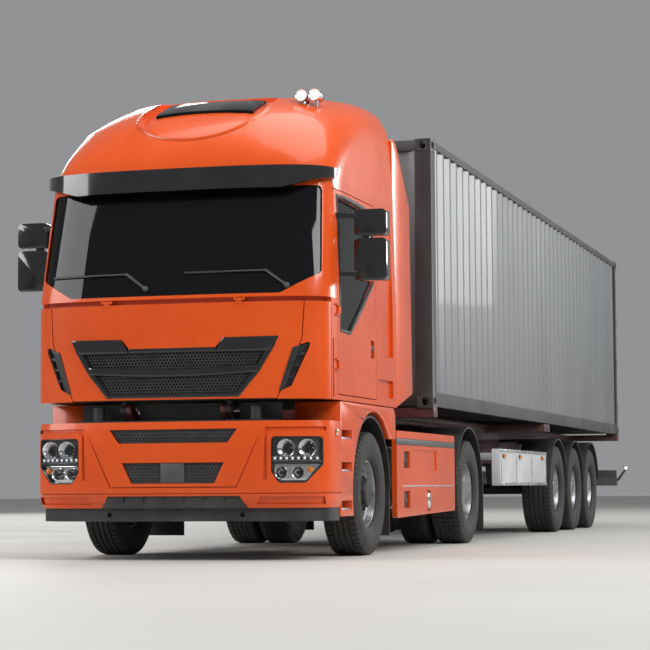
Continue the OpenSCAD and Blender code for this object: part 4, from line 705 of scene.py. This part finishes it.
# Raised lip round the sunk field of the roof: straight down, round the bottom and up again
FIELD_HALF, FIELD_LEVEL, FIELD_RISE, FIELD_DEPTH = 0.54, 3.715, 0.15, 0.285
lip = Soup()
rings = []
for k in range(61):
    if k < 10:
        y, z = FIELD_HALF, FIELD_LEVEL + FIELD_RISE - FIELD_RISE * k / 10
    elif k > 50:
        y, z = -FIELD_HALF, FIELD_LEVEL + FIELD_RISE * (k - 50) / 10
    else:
        a = math.pi * (k - 10) / 40
        y, z = FIELD_HALF * math.cos(a), FIELD_LEVEL - FIELD_DEPTH * math.sin(a)
    oy, oz = y * 1.07, FIELD_LEVEL + (z - FIELD_LEVEL) * (1.09 if z < FIELD_LEVEL else 1.0)
    rings.append([(skin(CAB, y, z) + 0.020, y, z), (skin(CAB, oy, oz) + 0.001, oy, oz),
                  (skin(CAB, oy, oz) - 0.030, oy, oz), (skin(CAB, y, z) - 0.030, y, z)])
lip.loft(rings)
lip.make("roof_field_lip", "cab", PAINT, "body_paint", 0.003)

# Roof lamps
lens, rings = Soup(), Soup()
for y in (0.765, 0.880):
    at = (FRONT - 1.0898, y, 3.865)
    lens.turn([(0, 0.016), (0.018, 0.014), (0.034, 0.008), (0.042, 0.0), (0, 0.0)], at, (1, 0, 0), 32)
    ring = [(0.0415, 0.0), (0.052, 0.0), (0.054, 0.008), (0.050, 0.018), (0.044, 0.014)]
    rings.turn(ring, at, (1, 0, 0), 36)
lens.make("roof_lamp_lenses", "cab", WHITE, "lamp", 0, 50)
rings.make("roof_lamp_rings", "cab", CHROME, "bright_metal", 0, 50)

# Step treads with ridges
treads = Soup()
STEP = AX1 + 1.0547
for z in (0.390, 0.700, 0.960):
    treads.box(AX1 + 0.724, STEP - 0.029, 1.000, 1.236, z + 0.0005, z + 0.010)
    for k in range(9):
        y = 1.012 + 0.026 * k
        treads.box(AX1 + 0.732, STEP - 0.037, y, y + 0.010, z + 0.0095, z + 0.016)
treads.both().make("step_treads", "tractor", STEEL, "bright_metal", 0.002)

# Rear lamps, bare plate, stalk lamps
BAR = BOX_LO.x + 0.060
for name, y0, y1, mat in (("red", 1.055, 1.180, RED), ("amber", 0.930, 1.045, AMBER),
                          ("white", 0.860, 0.920, WHITE), ("red_inner", 0.772, 0.850, RED)):
    lamp = Soup()
    lamp.box(BAR - 0.016, BAR + 0.001, y0, y1, 0.698, 0.788)
    for k in range(5):
        z = 0.708 + 0.016 * k
        lamp.box(BAR - 0.018, BAR - 0.014, y0 + 0.006, y1 - 0.006, z, z + 0.007)
    lamp.both().make("rear_lamp_" + name, "trailer", mat, "lamp", 0.004)
plate = Soup()
plate.box(BAR - 0.006, BAR + 0.001, -0.26, 0.26, 0.585, 0.675)
plate.box(BAR - 0.008, BAR - 0.005, -0.262, 0.262, 0.583, 0.589)
plate.box(BAR - 0.008, BAR - 0.005, -0.262, 0.262, 0.671, 0.677)
plate.make("bare_plate", "trailer", GUARD, "guard_panel", 0.002)
stalks = Soup()
STALK = BAR + 0.05
bend = ((1.185, 0.640), (1.225, 0.665), (1.270, 0.735), (1.330, 0.815))
stalks.tube([(STALK, y, z) for y, z in bend], 0.017, 14)
stalks.turn([(0, -0.034), (0.030, -0.034), (0.036, -0.020), (0.036, 0.020), (0.030, 0.034), (0, 0.034)],
            (STALK, 1.338, 0.830), (1, 0, 0), 28)
stalks.both().make("stalk_lamp_bodies", "trailer", BLACK, "black_plastic", 0, 45)
for name, sign, mat in (("red", -1, RED), ("white", 1, WHITE)):
    lamp = Soup()
    lamp.turn([(0, 0.014), (0.016, 0.011), (0.027, 0.004), (0.029, -0.002), (0, -0.002)],
              (STALK + sign * 0.033, 1.338, 0.830), (sign, 0, 0), 28)
    lamp.both().make("stalk_lamp_" + name, "trailer", mat, "lamp", 0, 45)

# Side guard profiles and marker lamps
GUARD_LO, GUARD_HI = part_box("side_guards")
profiles = Soup()
for z in (GUARD_LO.z + 0.002, GUARD_HI.z - 0.034):
    profiles.box(GUARD_LO.x + 0.004, GUARD_HI.x - 0.004, GUARD_HI.y - 0.003, GUARD_HI.y + 0.008, z, z + 0.032)
for t in (0.012, 0.34, 0.67, 0.974):
    x = GUARD_LO.x + t * (GUARD_HI.x - GUARD_LO.x)
    profiles.box(x, x + 0.026, GUARD_HI.y - 0.003, GUARD_HI.y + 0.006, GUARD_LO.z + 0.03, GUARD_HI.z - 0.03)
profiles.both().make("guard_profiles", "trailer", ALLOY, "bright_metal", 0.002)
marks, bases = Soup(), Soup()
for t in (0.10, 0.60, 0.93):
    x = GUARD_LO.x + t * (GUARD_HI.x - GUARD_LO.x)
    bases.box(x - 0.060, x + 0.060, GUARD_HI.y - 0.002, GUARD_HI.y + 0.010, 0.880, 0.925)
    marks.box(x - 0.052, x + 0.052, GUARD_HI.y + 0.008, GUARD_HI.y + 0.020, 0.886, 0.919)
    marks.box(x - 0.040, x + 0.040, GUARD_HI.y + 0.019, GUARD_HI.y + 0.023, 0.893, 0.912)
bases.both().make("marker_bases", "trailer", BLACK, "black_plastic", 0.003)
marks.both().make("marker_lenses", "trailer", AMBER, "lamp", 0.004)

# Container door handles, hasps and rod collars
LEAF = BOX_LO.x + 0.092
for side, sign in SIDES:
    gear = Soup()
    for y, run in ((0.300, 0.25), (0.760, 0.22)):
        z = BOX_LO.z + 1.22
        gear.tube([(LEAF - 0.044, y, z), (LEAF - 0.052, y + 0.03, z), (LEAF - 0.052, y + run * 0.7, z - 0.01),
                   (LEAF - 0.046, y + run, z - 0.02)], 0.011, 12)
        gear.box(LEAF - 0.050, LEAF + 0.001, y + run * 0.72, y + run * 0.82, z - 0.055, z + 0.035)
        for zz in (BOX_LO.z + 0.175, BOX_HI.z - 0.165):
            collar = [(0.0165, -0.03), (0.026, -0.03), (0.026, 0.03), (0.0165, 0.03)]
            gear.turn(collar, (LEAF - 0.024, y, zz), (0, 0, 1), 20)
    gear.on(sign).make("door_gear_" + side, "container_door_" + side, STEEL, "bright_metal", 0.002, 40)

# Lights by name, place, size, power and target, then world, floor and camera
LIGHTS = [("key", (15, 17, 15), 10, 3900, (4, 0, 1.6)), ("fill", (17, -15, 10), 10, 1900, (6, 0, 1.5)),
          ("top", (4, 2, 18), 14, 1700, (3, 0, 0)), ("rear", (-20, -14, 11), 9, 1700, (-6, 0, 2)),
          ("side", (-16, 17, 8), 7, 1800, (-3, 1, 2.5))]
for name, at, size, power, target in LIGHTS:
    light = bpy.data.lights.new(name, "AREA")
    light.size = size
    light.energy = power
    ob = bpy.data.objects.new(name, light)
    bpy.context.scene.collection.objects.link(ob)
    ob.location = at
    ob.rotation_euler = (Vector(target) - Vector(at)).to_track_quat("-Z", "Y").to_euler()

world = bpy.data.worlds.new("studio")
world.use_nodes = True
backdrop = world.node_tree.nodes["Background"]
backdrop.inputs["Color"].default_value = (0.90, 0.91, 0.93, 1)
backdrop.inputs["Strength"].default_value = 0.32
bpy.context.scene.world = world
bpy.context.scene.view_settings.view_transform = "Standard"

floor_mesh = bpy.data.meshes.new("floor")
FLOOR, LEVEL = 90, -0.001
corners = [(-FLOOR, -FLOOR, LEVEL), (FLOOR, -FLOOR, LEVEL), (FLOOR, FLOOR, LEVEL), (-FLOOR, FLOOR, LEVEL)]
floor_mesh.from_pydata(corners, [], [(0, 1, 2, 3)])
floor_mesh.materials.append(surface("floor_pale", (0.52, 0.51, 0.48), (0.55, 0.54, 0.51), 0.4, (0.6, 0.75)))
floor = bpy.data.objects.new("floor", floor_mesh)
bpy.context.scene.collection.objects.link(floor)

# Camera as fitted to the picture
EYE = (AX1 + 17.557, 5.860, 0.576)
LENS = 118.48
yaw, pitch, roll = math.radians(16.03), math.radians(4.33), math.radians(0.35)
ahead = Vector((-math.cos(yaw) * math.cos(pitch), -math.sin(yaw) * math.cos(pitch), math.sin(pitch)))
camera = bpy.data.cameras.new("camera")
camera.lens = LENS
camera.clip_end = 300
eye = bpy.data.objects.new("camera", camera)
bpy.context.scene.collection.objects.link(eye)
turn = ahead.to_track_quat("-Z", "Y").to_matrix() @ Matrix.Rotation(-roll, 3, "Z")
eye.matrix_world = Matrix.Translation(EYE) @ turn.to_4x4()
bpy.context.scene.camera = eye
